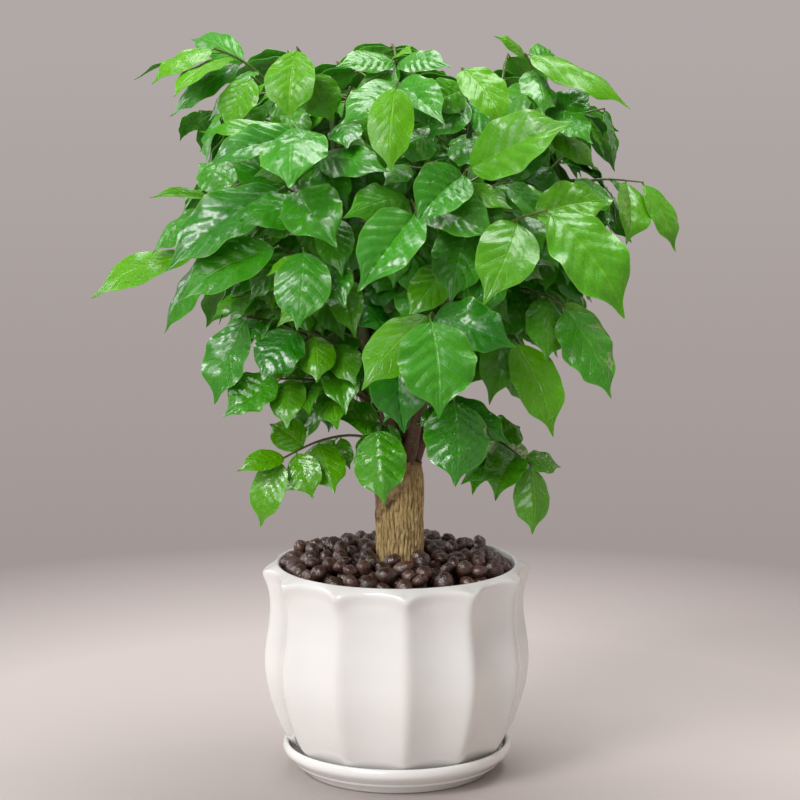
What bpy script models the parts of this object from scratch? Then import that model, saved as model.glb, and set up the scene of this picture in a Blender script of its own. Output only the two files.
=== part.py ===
"""Potted china doll plant: a fluted glazed pot on its saucer, soil, clay balls, trunk, shoots, leaves.

Metres, +Z up. The origin is the middle of the saucer's underside, the front of the plant is at -Y.
Places and sizes are written in millimetres times MM.
"""
import math
import random

import bmesh
import bpy
from mathutils import Matrix, Vector
from mathutils.bvhtree import BVHTree

MM = 0.001
UP = Vector((0, 0, 1))
GAP = 0.3 * MM          # air between two pieces that touch
ROUND = 36              # sides of the turned pieces

# ---- driving dimensions
SAUCER_FLOOR = 4.7 * MM
POT_FLUTES = 12
POT_FLUTE_TURN = math.radians(-86)   # one ridge stands 4 degrees right of the front
POT_FLUTE_SIDES = 3                  # facets across one flute
POT_FOOT = SAUCER_FLOOR + GAP
POT_FLOOR = POT_FOOT + 6 * MM
POT_DRAIN_RADIUS = 7 * MM
RIM_RADIUS = 71 * MM                 # plain round inner edge of the rim
RIM_HEIGHT = 127 * MM
LIP_CORNER_RADIUS = 80 * MM
LIP_MIDDLE_RADIUS = 75 * MM
LIP_SLOPE = 6 / 9                    # the lip's top face falls away outwards
SOIL_TOP = 118 * MM
TRUNK_RADIUS = 14.2 * MM
TRUNK_X = 1.5 * MM
TRUNK_FOOT = 92 * MM
CUT_HEIGHT = 191 * MM                # sloping cut across the top of the trunk
CUT_SLOPE = -0.28
BALL_RADIUS = 6.4 * MM
BALL_SPACING = 15 * MM
LEAF_THICKNESS = 1.0 * MM
RACHIS_RADIUS = 1.1 * MM

# ---- profiles, as (radius, height) in millimetres
# The saucer, from the middle of its floor over the rim and down to the underside.
SAUCER_PROFILE = ((0, 4.7), (61.5, 4.7), (63.2, 7.5), (64, 11), (64.6, 15.5), (65.5, 17.6), (66.6, 18),
                  (67.9, 17.1), (68.7, 14.5), (68.2, 12.2), (65, 9.2), (56, 1.4), (53.5, 0), (0, 0))
# The pot's ridges, from the foot to the lip, each with the depth of the flutes between them.
POT_RIDGES = ((49, 5, 0.4), (52.5, 7, 1), (60, 13, 2), (65.6, 19, 3), (71, 29, 3.8), (76.2, 44.5, 4.4),
              (79.5, 68, 4.6), (77, 89, 4.4), (76, 102, 4.2), (77.2, 112, 4.4))
# The pot's round inside, from just under the rim to the floor.
POT_CAVITY = ((69.6, 122), (67.6, 110), (69.4, 80), (68.6, 60), (63, 34), (55, 19), (44, 11))

# ---- shoots, each a path from the cut top of the trunk, in millimetres, with its foot's radius
STEMS = {
    "left": (4.2, ((-8, -1), (-24, -5, 240), (-43, -10, 300), (-58, -14, 360), (-66, -16, 412))),
    "front_left": (4.0, ((-3, -8.5), (-12, -28, 240), (-25, -47, 300), (-33, -56, 355), (-37, -58, 402))),
    "front_right": (4.0, ((6, -8), (16, -30, 236), (28, -50, 295), (36, -60, 350), (42, -62, 396))),
    "right": (4.0, ((10, 1), (31, -4, 230), (58, -12, 290), (78, -18, 350), (88, -20, 402))),
    "back_left": (4.0, ((-3, 8.5), (-14, 28, 240), (-33, 50, 305), (-45, 62, 365), (-50, 66, 408))),
    "back_right": (4.0, ((6, 8), (20, 30, 238), (42, 54, 300), (56, 68, 360), (62, 72, 402))),
    "centre": (3.6, ((1, 0), (0, 0, 250), (3, 1, 320), (2, 0, 380), (0, -2, 420))),
}

# ---- leaves of the front half
# name: shoot, how far up it, end of the rachis, and the leaflets that are placed one by one, each as
# (how far along the rachis, tip, width, roll in degrees, age from 0 for lime to 1 for dark)
FRONT_LEAVES = {
    "top_left": ("left", 0.98, (-104, -34, 433), (
        (1.0, (-139, -50, 415), 23, 0, 0.25), (0.72, (-124, -76, 409), 27, 0, 0.2),
        (0.86, (-152, -15, 415), 20, 30, 0.0), (0.55, (-122, 18, 437), 20, -25, 0.8),
        (0.6, (-131, -30, 396), 25, 0, 0.8))),
    "upper_left_front": ("left", 0.9, (-82, -50, 418), (
        (1.0, (-97, -62, 389), 28, 0, 0.4), (0.75, (-84, -84, 400), 25, 15, 0.55))),
    "top_front_left": ("front_left", 0.98, (-55, -85, 436), (
        (1.0, (-59, -102, 397), 33, 0, 0.05), (0.6, (-35, -74, 394), 27, 0, 0.35))),
    "top_centre": ("centre", 0.99, (-1, -40, 427), (
        (1.0, (8, -62, 433), 13, 0, 0.2), (0.85, (-14, -62, 431), 13, 10, 0.15),
        (0.5, (-34, -40, 424), 22, 0, 0.6), (0.4, (30, -44, 424), 24, 0, 0.7))),
    "top_arch": ("front_left", 0.9, (-26, -64, 413), (
        (1.0, (8, -94, 414), 27, 0, 0.9), (0.6, (-52, -98, 408), 27, 0, 0.65))),
    "front_lime": ("centre", 0.88, (0, -108, 417), (
        (1.0, (-3, -126, 370), 29, 0, 0.0), (0.7, (-30, -116, 398), 28, 0, 0.7),
        (0.66, (26, -116, 396), 28, 0, 0.75))),
    "upper_front_left": ("front_left", 0.8, (-58, -84, 393), (
        (1.0, (-58, -136, 366), 44, 0, 0.75), (0.85, (-106, -96, 373), 27, 0, 0.85),
        (0.7, (-110, -70, 391), 19, 20, 0.6), (0.45, (-6, -112, 372), 27, 0, 0.8))),
    "upper_right_lime": ("front_right", 0.99, (36, -80, 425), (
        (1.0, (59, -106, 393), 29, 0, 0.03), (0.6, (17, -104, 405), 26, 0, 0.6))),
    "top_right": ("right", 0.98, (73, -30, 430), (
        (1.0, (133, -46, 401), 32, 0, 0.2), (0.7, (83, -62, 399), 27, 0, 0.7),
        (0.75, (97, 10, 424), 23, 0, 0.7), (0.9, (56, -40, 441), 11, 0, 0.3))),
    "right_bright": ("front_right", 0.78, (38, -104, 370), (
        (1.0, (94, -126, 399), 41, 0, 0.15), (0.85, (10, -122, 343), 35, 0, 0.75))),
    "upper_right": ("right", 0.92, (84, -40, 394), (
        (1.0, (110, -62, 383), 29, 0, 0.8), (0.75, (112, -18, 408), 24, 0, 0.85),
        (0.7, (70, -80, 384), 27, 0, 0.8))),
    "right_quilted": ("front_right", 0.6, (82, -115, 349), (
        (1.0, (124, -138, 294), 47, 0, 0.3), (0.72, (47, -138, 302), 39, 0, 0.35),
        (0.85, (118, -108, 353), 33, 0, 0.3))),
    "far_right": ("right", 0.76, (141, -35, 357), (
        (1.0, (160, -46, 319), 23, 0, 0.4), (0.84, (130, -64, 325), 28, 0, 0.3),
        (0.7, (146, -4, 334), 28, 0, 0.85), (0.55, (104, -70, 342), 28, 0, 0.7))),
    "front_centre": ("front_right", 0.42, (18, -128, 292), (
        (1.0, (23, -151, 241), 49, 0, 0.45), (0.72, (-19, -141, 255), 35, 0, 0.35),
        (0.8, (65, -127, 277), 38, 0, 0.9))),
    "centre_upper": ("centre", 0.62, (11, -114, 348), (
        (1.0, (-21, -141, 309), 39, 0, 0.5), (0.8, (56, -117, 334), 35, 0, 0.7),
        (0.7, (-27, -120, 347), 29, 0, 0.7))),
    "centre_left": ("front_left", 0.66, (-55, -90, 359), (
        (1.0, (-33, -119, 331), 40, 0, 0.55), (0.75, (-86, -104, 341), 30, 0, 0.8))),
    "left_front_mid": ("front_left", 0.46, (-52, -95, 326), (
        (1.0, (-55, -117, 284), 37, 0, 0.55), (0.65, (-29, -107, 296), 26, 0, 0.75),
        (0.85, (-72, -112, 312), 15, 20, 0.1))),
    "left_long": ("left", 0.5, (-115, -40, 315), (
        (1.0, (-177, -40, 293), 29, 0, 0.25), (0.9, (-136, -32, 270), 25, 0, 0.7),
        (0.7, (-108, -8, 288), 26, 0, 0.8))),
    "left_upper": ("left", 0.78, (-112, -38, 342), (
        (1.0, (-141, -40, 317), 27, 0, 0.75), (0.85, (-140, -46, 351), 11, 0, 0.3),
        (0.6, (-116, -6, 366), 26, 0, 0.7))),
    "left_large": ("left", 0.64, (-63, -74, 358), (
        (1.0, (-129, -88, 313), 41, 0, 0.95), (0.7, (-96, -62, 374), 27, 0, 0.8))),
    "left_mid": ("left", 0.42, (-66, -84, 326), (
        (1.0, (-122, -96, 297), 37, 0, 0.9), (0.75, (-84, -66, 293), 25, 0, 0.7))),
    "left_glossy": ("left", 0.26, (-86, -54, 282), (
        (1.0, (-105, -62, 233), 33, 0, 0.8), (0.75, (-80, -78, 268), 26, 0, 0.8),
        (0.85, (-104, -26, 246), 26, 0, 0.9))),
    "left_inner": ("front_left", 0.28, (-56, -70, 277), (
        (1.0, (-76, -88, 251), 33, 0, 0.9), (0.8, (-45, -86, 250), 24, 0, 0.3),
        (0.55, (-24, -84, 248), 22, 0, 0.5))),
    "low_left_upper": ("left", 0.14, (-67, -60, 247), (
        (1.0, (-99, -67, 227), 31, 0, 0.6), (0.88, (-63, -76, 222), 25, 0, 0.5),
        (0.6, (-50, -78, 232), 23, 0, 0.6))),
    "low_front": ("front_left", 0.1, (-11, -60, 219), (
        (1.0, (-7, -77, 178), 35, 0, 0.2), (0.8, (-36, -78, 207), 29, 0, 0.25),
        (0.55, (-34, -62, 224), 26, 0, 0.55))),
    "low_left": ("left", 0.05, (-67, -60, 200), (
        (1.0, (-79, -66, 162), 25, 0, 0.3), (0.94, (-91, -56, 196), 19, 0, 0.35),
        (0.84, (-48, -73, 179), 23, 0, 0.35), (0.76, (-74, -42, 217), 24, 0, 0.3),
        (0.62, (-36, -62, 182), 25, 0, 0.35))),
    "low_right": ("right", 0.12, (77, -60, 197), (
        (1.0, (78, -67, 158), 25, 0, 0.35), (0.92, (95, -60, 194), 19, 0, 0.35),
        (0.84, (56, -78, 181), 27, 0, 0.4), (0.66, (37, -78, 190), 27, 0, 0.7),
        (0.6, (72, -40, 214), 28, 0, 0.5))),
    "low_centre_right": ("front_right", 0.14, (32, -92, 241), (
        (1.0, (33, -114, 196), 43, 0, 0.5), (0.75, (64, -88, 216), 27, 0, 0.9))),
    "right_pale": ("right", 0.34, (66, -80, 272), (
        (1.0, (88, -98, 221), 33, 0, 0.4), (0.78, (52, -108, 240), 24, 0, 0.5))),
    "right_low": ("right", 0.5, (95, -72, 290), (
        (1.0, (121, -88, 241), 35, 0, 0.7), (0.72, (84, -96, 262), 29, 0, 0.5),
        (0.9, (126, -50, 252), 25, 0, 0.2), (0.6, (96, -30, 262), 27, 0, 0.8))),
    "centre_low": ("centre", 0.32, (2, -80, 273), (
        (1.0, (4, -94, 222), 39, 0, 0.97), (0.75, (-20, -97, 284), 37, 0, 0.95))),
    "centre_right_upper": ("front_right", 0.88, (22, -64, 386), (
        (1.0, (-1, -92, 379), 28, 0, 0.7), (0.6, (60, -90, 372), 30, 0, 0.8))),
    "centre_right": ("front_right", 0.52, (42, -82, 340), (
        (1.0, (30, -108, 298), 36, 0, 0.8), (0.7, (76, -92, 318), 33, 0, 0.85))),
}

# ---- leaves of the back half, whose leaflets all follow the rule for pairs
# name: shoot, how far up it, direction of the rachis in degrees (90 is the back), reach, end height
BACK_LEAVES = {
    "back_top_left": ("back_left", 0.98, 128, 108, 426),
    "back_top_right": ("back_right", 0.98, 52, 110, 424),
    "back_top": ("centre", 0.95, 92, 84, 430),
    "back_upper_left": ("back_left", 0.84, 158, 128, 392),
    "back_upper": ("back_left", 0.88, 100, 118, 400),
    "back_upper_right": ("back_right", 0.86, 28, 124, 392),
    "back_upper_mid": ("back_right", 0.8, 72, 124, 378),
    "back_left": ("back_left", 0.62, 146, 128, 352),
    "back_mid": ("back_left", 0.6, 106, 124, 340),
    "back_mid_right": ("back_right", 0.58, 62, 122, 340),
    "back_right": ("back_right", 0.64, 22, 128, 350),
    "back_low_left": ("back_left", 0.36, 152, 108, 296),
    "back_low": ("back_left", 0.32, 112, 104, 284),
    "back_low_mid": ("back_right", 0.3, 76, 102, 282),
    "back_low_right": ("back_right", 0.36, 34, 108, 294),
}
PAIR_PLACES = (0.5, 0.68, 0.86)      # where a leaf of the back half has its pairs
FILL_PLACES = (0.42,)                # where a leaf of the front half has pairs besides its own
PAIR_LENGTH = 46 * MM
PAIR_WIDTH = 0.58                    # width of such a leaflet, as a share of its length


# ---- helpers

def clear_scene():
    for item in list(bpy.data.objects):
        bpy.data.objects.remove(item, do_unlink=True)


def collection(name):
    group = bpy.data.collections.new(name)
    bpy.context.scene.collection.children.link(group)
    return group


def finish(item, colour, roughness, smooth_angle=35):
    """Gives an object its own material and smooth shading."""
    skin = bpy.data.materials.new(item.name + "_finish")
    skin.use_nodes = True
    shader = skin.node_tree.nodes["Principled BSDF"]
    shader.inputs["Base Color"].default_value = (*colour, 1)
    shader.inputs["Roughness"].default_value = roughness
    shader.inputs["Metallic"].default_value = 0
    item.data.materials.clear()
    item.data.materials.append(skin)
    item.data.shade_smooth()
    item.data.set_sharp_from_angle(angle=math.radians(smooth_angle))


def add_object(name, mesh):
    item = bpy.data.objects.new(name, mesh)
    PLANT.objects.link(item)
    return item


def turned(name, profile, hole=False):
    """A solid of revolution from a profile that runs down its outer side."""
    mesh = bpy.data.meshes.new(name)
    points = [(radius * MM, 0, height * MM) for radius, height in profile]
    edges = [(index, index + 1) for index in range(len(points) - 1)]
    if hole:
        edges.append((len(points) - 1, 0))
    mesh.from_pydata(points, edges, [])
    item = add_object(name, mesh)
    screw = item.modifiers.new("turn", "SCREW")
    screw.angle = math.tau
    screw.steps = ROUND
    screw.render_steps = ROUND
    screw.use_merge_vertices = True
    screw.merge_threshold = 0.01 * MM
    return item


def loft(rings, closed):
    """A mesh through rings of equal count; its ends are capped unless it closes on itself."""
    form = bmesh.new()
    loops = [[form.verts.new(point) for point in ring] for ring in rings]
    pairs = list(zip(loops, loops[1:]))
    if closed:
        pairs.append((loops[-1], loops[0]))
    for lower, upper in pairs:
        count = len(lower)
        for index in range(count):
            after = (index + 1) % count
            form.faces.new((lower[index], lower[after], upper[after], upper[index]))
    if not closed:
        form.faces.new(reversed(loops[0]))
        form.faces.new(loops[-1])
    bmesh.ops.recalc_face_normals(form, faces=form.faces)
    return form


def to_mesh(form, name):
    mesh = bpy.data.meshes.new(name)
    form.to_mesh(mesh)
    form.free()
    return mesh


def evaluated_mesh(item):
    graph = bpy.context.evaluated_depsgraph_get()
    return bpy.data.meshes.new_from_object(item.evaluated_get(graph))


def tube(points, radii, resolution):
    """The mesh of a capped tube along a path, as a curve with a bevel."""
    line = bpy.data.curves.new("path", "CURVE")
    line.dimensions = "3D"
    line.bevel_depth = 1
    line.bevel_resolution = resolution
    line.use_fill_caps = True
    spline = line.splines.new("POLY")
    spline.points.add(len(points) - 1)
    for knot, point, radius in zip(spline.points, points, radii):
        knot.co = (*point, 1)
        knot.radius = radius
    guide = bpy.data.objects.new("path", line)
    GUIDES.objects.link(guide)
    mesh = evaluated_mesh(guide)
    bpy.data.objects.remove(guide, do_unlink=True)
    form = bmesh.new()
    form.from_mesh(mesh)
    bmesh.ops.remove_doubles(form, verts=form.verts, dist=0.01 * MM)
    return form


def smooth_path(points, steps):
    """Points along a smooth curve through the given ones."""
    ends = [points[0] * 2 - points[1], *points, points[-1] * 2 - points[-2]]
    path = []
    for before, start, end, after in zip(ends, ends[1:], ends[2:], ends[3:]):
        for step in range(steps):
            t = step / steps
            path.append(0.5 * (2 * start + (end - before) * t
                               + (2 * before - 5 * start + 4 * end - after) * t ** 2
                               + (3 * start - before - 3 * end + after) * t ** 3))
    path.append(points[-1].copy())
    return path


def union(item, other):
    """Joins another object into this one and leaves a plain mesh."""
    join = item.modifiers.new("join", "BOOLEAN")
    join.operation = "UNION"
    join.solver = "EXACT"
    join.use_self = True
    join.object = other
    mesh = evaluated_mesh(item)
    item.modifiers.clear()
    item.data = mesh
    mesh.name = item.name
    bpy.data.objects.remove(other, do_unlink=True)


# ---- saucer: a glazed dish, turned

def make_saucer():
    saucer = turned("saucer", SAUCER_PROFILE)
    finish(saucer, (0.86, 0.85, 0.82), 0.15)


# ---- pot: round inside, with twelve concave flutes outside that end under a pointed lip

def flute_ring(radius, height, depth):
    """A ring whose radius dips by depth between the ridges."""
    ring = []
    for flute in range(POT_FLUTES):
        for facet in range(POT_FLUTE_SIDES):
            across = 2 * facet / POT_FLUTE_SIDES - 1
            turn = POT_FLUTE_TURN + math.tau * (flute + facet / POT_FLUTE_SIDES) / POT_FLUTES
            reach = radius - depth * (1 - across ** 2)
            ring.append((reach * math.cos(turn), reach * math.sin(turn), height))
    return ring


def lip_ring():
    """The lip's outer edge: its corners reach out and down, and the flutes cut it back between them."""
    ring = flute_ring(LIP_CORNER_RADIUS, 0, LIP_CORNER_RADIUS - LIP_MIDDLE_RADIUS)
    edge = []
    for x, y, _ in ring:
        fall = (math.hypot(x, y) - RIM_RADIUS) * LIP_SLOPE
        edge.append((x, y, RIM_HEIGHT - fall))
    return edge


def make_pot():
    rings = [flute_ring(POT_DRAIN_RADIUS, POT_FOOT, 0)]
    rings += [flute_ring(radius * MM, height * MM, depth * MM) for radius, height, depth in POT_RIDGES]
    rings += [lip_ring(), flute_ring(RIM_RADIUS, RIM_HEIGHT, 0)]
    rings += [flute_ring(radius * MM, height * MM, 0) for radius, height in POT_CAVITY]
    rings += [flute_ring(POT_DRAIN_RADIUS, POT_FLOOR, 0)]
    pot = add_object("pot", to_mesh(loft(rings, closed=True), "pot"))
    finish(pot, (0.86, 0.85, 0.82), 0.12)


# ---- potting soil: fills the pot and holds the foot of the trunk in a pocket

def make_soil():
    gap = GAP / MM
    pocket = (TRUNK_RADIUS + GAP) / MM
    foot = (TRUNK_FOOT - GAP) / MM
    top = SOIL_TOP / MM
    centre = TRUNK_X / MM
    inside = [(radius - 2 * gap, height + gap) for radius, height in POT_CAVITY if height < top - gap]
    profile = [(0, foot), (pocket + centre, foot), (pocket + centre, top), (67.6, top), *inside]
    profile.append((0, POT_CAVITY[-1][1] + gap))
    soil = turned("potting_soil", profile)
    finish(soil, (0.03, 0.02, 0.014), 0.95)


# ---- clay balls: a shallow mound of fired balls round the trunk

def mound_height(radius):
    """Top of the bed that carries the uppermost balls."""
    return 129.5 * MM - 5 * MM * (radius / (67 * MM)) ** 6


def make_clay_balls():
    gap = GAP / MM
    inner = (TRUNK_RADIUS + TRUNK_X + GAP) / MM
    radii = (inner, 40, 55, 62, 66.8)
    top = [(radius, mound_height(radius * MM) / MM) for radius in radii]
    floor = SOIL_TOP / MM + gap
    bed = turned("clay_balls", [*top, (66.8, floor), (inner, floor)], hole=True)
    turn = math.radians(137.508)
    balls = bmesh.new()
    index = 0
    while True:
        radius = BALL_SPACING * 0.56 * math.sqrt(index + 0.5)
        index += 1
        if radius > 62.8 * MM:
            break
        if radius < inner * MM + BALL_RADIUS + GAP:
            continue
        place = Vector((radius * math.cos(index * turn), radius * math.sin(index * turn),
                        mound_height(radius) + 0.5 * MM))
        tilt = Matrix.Rotation(index * 1.3, 4, (0.3, 0.8, 0.5))
        bmesh.ops.create_icosphere(balls, subdivisions=1, radius=BALL_RADIUS,
                                   matrix=Matrix.Translation(place) @ tilt)
    union(bed, add_object("balls", to_mesh(balls, "balls")))
    finish(bed, (0.035, 0.022, 0.018), 0.35)


# ---- trunk: a pruned woody stem with a sloping cut top

def trunk_swell(height, turn):
    """How much wider the trunk is than its plain radius at a height and a direction."""
    knobs = max(0, min(1, (height - 160 * MM) / (15 * MM)))
    flare = max(0, min(1, (150 * MM - height) / (17 * MM)))
    ribs = 0.35 * math.sin(5 * turn + height / (9 * MM)) + 0.3 * math.sin(3 * turn - height / (14 * MM))
    above = 0 if height < 136 * MM else 1
    return (above * ribs * (0.5 + knobs) + knobs * 0.7 * math.sin(2 * turn + 1) - flare * 0.4) * MM


def make_trunk():
    sides = 18
    rings = []
    levels = (92, 96, 118, 134, 146, 156, 166, 174, 181, 187)
    for level in levels:
        height = level * MM
        plain = TRUNK_RADIUS - (4 * MM if level == levels[0] else 0)
        ring = []
        for side in range(sides):
            turn = math.tau * side / sides
            radius = plain - 0.4 * MM + trunk_swell(height, turn)
            x = radius * math.cos(turn)
            # The upper rings tilt little by little until they lie along the cut.
            tilt = max(0, (height - 146 * MM) / (CUT_HEIGHT - 146 * MM))
            ring.append((TRUNK_X + x, radius * math.sin(turn), height + x * CUT_SLOPE * tilt))
        rings.append(ring)
    top = []
    for side in range(sides):
        turn = math.tau * side / sides
        x = (TRUNK_RADIUS - 1.2 * MM) * math.cos(turn)
        top.append((TRUNK_X + x, (TRUNK_RADIUS - 1.2 * MM) * math.sin(turn), CUT_HEIGHT + x * CUT_SLOPE))
    rings.append(top)
    trunk = add_object("trunk", to_mesh(loft(rings, closed=False), "trunk"))
    finish(trunk, (0.25, 0.17, 0.08), 0.85)


# ---- shoots: tapering green-brown stems that stand on the cut top

def stem_path(name):
    """The smooth path and the radii of a shoot."""
    foot_radius, knots = STEMS[name]
    x, y = knots[0][0] * MM, knots[0][1] * MM
    normal = Vector((-CUT_SLOPE, 0, 1)).normalized()
    start = Vector((x, y, CUT_HEIGHT + (x - TRUNK_X) * CUT_SLOPE)) + normal * GAP
    points = [start, start + normal * 8 * MM] + [Vector(knot) * MM for knot in knots[1:]]
    path = [start] + smooth_path(points[1:], 2)
    radii = [foot_radius * MM * (1 - 0.62 * index / (len(path) - 1)) for index in range(len(path))]
    return path, radii


def stem_point(name, share):
    """The place, direction and radius at a share of a shoot's length."""
    path, radii = stem_path(name)
    lengths = [0]
    for start, end in zip(path, path[1:]):
        lengths.append(lengths[-1] + (end - start).length)
    want = share * lengths[-1]
    for index in range(len(path) - 1):
        if want <= lengths[index + 1]:
            part = (want - lengths[index]) / (lengths[index + 1] - lengths[index])
            place = path[index].lerp(path[index + 1], part)
            radius = radii[index] + (radii[index + 1] - radii[index]) * part
            return place, (path[index + 1] - path[index]).normalized(), radius
    return path[-1], (path[-1] - path[-2]).normalized(), radii[-1]


def make_stems():
    bodies = {}
    for name in STEMS:
        path, radii = stem_path(name)
        stem = add_object("stem_" + name, to_mesh(tube(path, radii, 1), "stem_" + name))
        finish(stem, (0.10, 0.13, 0.03), 0.5)
        wide = tube(path, [radius + 0.4 * MM for radius in radii], 1)
        bodies[name] = BVHTree.FromBMesh(wide)
        wide.free()
    return bodies


# ---- leaves: a thin rachis with leaflets, grown together

def rachis_path(stem, share, end, lift, bow):
    """Points of a rachis that leaves its shoot sideways and arches over to its end."""
    place, direction, radius = stem_point(stem, share)
    away = end - place
    sideways = (away - direction * away.dot(direction)).normalized()
    start = place + sideways * (radius + GAP)
    reach = (end - start).length
    cross = sideways.cross(UP)
    middle = start.lerp(end, 0.45) + UP * lift * reach + cross * bow * reach
    first = start + sideways * 2.5 * MM
    path = [start]
    for step in range(4):
        t = step / 3
        path.append(first * (1 - t) ** 2 + middle * 2 * t * (1 - t) + end * t ** 2)
    return path


def along_path(path, share):
    """The point at a share of a path's length, and the direction there."""
    lengths = [(end - start).length for start, end in zip(path, path[1:])]
    want = share * sum(lengths)
    for start, end, length in zip(path, path[1:], lengths):
        if want <= length:
            return start.lerp(end, want / length), (end - start).normalized()
        want -= length
    return path[-1], (path[-1] - path[-2]).normalized()


def facing(base, tip, roll):
    """The direction that a leaflet's upper face looks: up, outwards and to the near side."""
    along = (tip - base).normalized()
    middle = (base + tip) / 2
    outward = Vector((middle.x, middle.y, 0)).normalized()
    near = Vector((0, max(-1, min(1, middle.y / (50 * MM))), 0))
    look = UP * 0.6 + near * 0.5 + outward * 0.35
    normal = (look - along * look.dot(along)).normalized()
    return Matrix.Rotation(math.radians(roll), 3, along) @ normal


def half_width(t):
    """Half the width of a leaflet at t from base to tip, as a share of its most: ovate, long tip."""
    if t <= 0 or t >= 1:
        return 0
    return t ** 0.7 * (1 - t) ** 1.1 / 0.3003


STATIONS = {True: (0, 0.03, 0.24, 0.5, 0.8, 1), False: (0, 0.03, 0.28, 0.68, 1)}    # by fineness
STATIONS_OTHERS = (0.05, 0.07, 0.25, 0.5, 0.8, 1.01)    # the stretch kept clear of other leaves
STATIONS_OWN = (0.15, 0.17, 0.27, 0.5, 0.8, 1.01)       # the stretch kept clear of its own leaf
ARCH = 0.07        # how far a leaflet bows up in its middle, as a share of its length
FOLD = 0.32        # how far its two halves rise from the midrib, as a share of their width


def leaflet_form(form, leaflet, stations, grow):
    """Adds a leaflet's closed blade: a small sphere whose rings are moved to its sections."""
    base, tip, width, roll = leaflet
    length = (tip - base).length
    normal = facing(base, tip, roll)
    side = (tip - base).normalized().cross(normal)
    steps = len(stations) - 1
    made = bmesh.ops.create_uvsphere(form, u_segments=4, v_segments=steps, radius=1)
    for vert in made["verts"]:
        level = round(math.acos(max(-1, min(1, vert.co.z))) * steps / math.pi)
        t = stations[level]
        centre = base.lerp(tip, t) + normal * ARCH * length * 4 * t * (1 - t)
        if level in (0, steps):
            vert.co = centre
            continue
        half = max(width / 2 * half_width(t), 0.7 * MM) + grow
        thick = LEAF_THICKNESS / 2 + grow
        across = round(vert.co.x / math.hypot(vert.co.x, vert.co.y))
        over = round(vert.co.y / math.hypot(vert.co.x, vert.co.y))
        vert.co = centre + side * across * half + normal * (abs(across) * FOLD * half + over * thick)


def leaflet_tree(leaflet, stations):
    """A slightly fattened blade, to test whether a leaflet has room."""
    form = bmesh.new()
    leaflet_form(form, leaflet, stations, 0.4 * MM)
    tree = BVHTree.FromBMesh(form)
    form.free()
    return tree


def placed_tries(base, tip, width, roll):
    """Poses for a leaflet placed by hand: as given, then nudged to and fro, rolled and made smaller."""
    for share in (1, 0.92, 0.84):
        for push, twist in ((0, 0), (-7, 0), (7, 0), (0, 14), (0, -14), (-12, 10), (12, -10), (-16, 0), (16, 0)):
            moved = base + (tip + Vector((0, push * MM, 0)) - base) * share
            yield base, moved, width * share, roll + twist


def paired_tries(base, direction, hand, length):
    """Poses for a leaflet of a pair: out to its side and drooping, then swung and made smaller."""
    side = direction.cross(UP).normalized() * hand
    ahead = Vector((direction.x, direction.y, 0)).normalized()
    for share in (1, 0.85, 0.7):
        for swing, droop in ((50, 42), (35, 55), (70, 35), (50, 65), (25, 30), (80, 60), (45, 15)):
            flat = ahead * math.cos(math.radians(swing)) + side * math.sin(math.radians(swing))
            fall = math.radians(droop)
            tip = base + (flat * math.cos(fall) - UP * math.sin(fall)) * length * share
            yield base, tip, length * share * PAIR_WIDTH, 0


def has_room(tree, others):
    return not any(tree.overlap(other) for other in others)


def leaflet_has_room(leaflet, name, taken):
    """Tests a leaflet of leaf name against all that is there, as (owner, tree) pairs."""
    others = [tree for owner, tree in taken if owner != name]
    own = [tree for owner, tree in taken if owner == name]
    return (has_room(leaflet_tree(leaflet, STATIONS_OTHERS), others)
            and has_room(leaflet_tree(leaflet, STATIONS_OWN), own))


def place_rachises(stems, solid):
    """Finds a path for every rachis that is clear of the shoots and of the others."""
    rows = {}
    for name, (stem, share, end, placed) in FRONT_LEAVES.items():
        rows[name] = (stem, share, Vector(end) * MM, placed, FILL_PLACES)
    for name, (stem, share, turn, reach, height) in BACK_LEAVES.items():
        angle = math.radians(turn)
        end = Vector((reach * math.cos(angle), reach * math.sin(angle), height)) * MM
        rows[name] = (stem, share, end, (), PAIR_PLACES)
    leaves = {}
    trees = {}
    for name, (stem, share, end, placed, pairs) in rows.items():
        others = [tree for other, tree in stems.items() if other != stem] + list(trees.values()) + solid
        for lift, bow in ((0.16, 0), (0.08, 0.1), (0.08, -0.1), (0.26, 0), (0.2, 0.2), (0.2, -0.2), (0, 0)):
            path = rachis_path(stem, share, end, lift, bow)
            radii = rachis_radii(path)
            wide = tube(path, [radius + 0.4 * MM for radius in radii], 0)
            tree = BVHTree.FromBMesh(wide)
            wide.free()
            if has_room(tree, others):
                break
        else:
            print("no room for the rachis of leaf", name)
            continue
        trees[name] = tree
        leaves[name] = (path, placed, pairs)
    return leaves, trees


def rachis_radii(path):
    return [RACHIS_RADIUS * (1 - 0.4 * index / (len(path) - 1)) for index in range(len(path))]


def place_leaflets(leaves, taken):
    """Finds a pose for every leaflet, those placed by hand first, and returns them leaf by leaf."""
    chance = random.Random(7)
    blades = {name: [] for name in leaves}
    wishes = []
    for name, (path, placed, _) in leaves.items():
        for share, tip, width, roll, _ in placed:
            base, _ = along_path(path, min(share, 0.985))
            wishes.append((name, True, placed_tries(base, Vector(tip) * MM, width * MM, roll)))
    for name, (path, placed, pairs) in leaves.items():
        if not placed:
            base, direction = along_path(path, 0.985)
            wishes.append((name, False, paired_tries(base, direction, 0.3, PAIR_LENGTH * 1.15)))
        for share in pairs:
            for hand in (1, -1):
                base, direction = along_path(path, share + 0.012 * hand)
                length = PAIR_LENGTH * chance.uniform(0.85, 1.12)
                wishes.append((name, False, paired_tries(base, direction, hand, length)))
    for name, fine, tries in wishes:
        for leaflet in tries:
            if leaflet_has_room(leaflet, name, taken):
                taken.append((name, leaflet_tree(leaflet, STATIONS_OTHERS)))
                blades[name].append((leaflet, fine))
                break
    return blades


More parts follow.
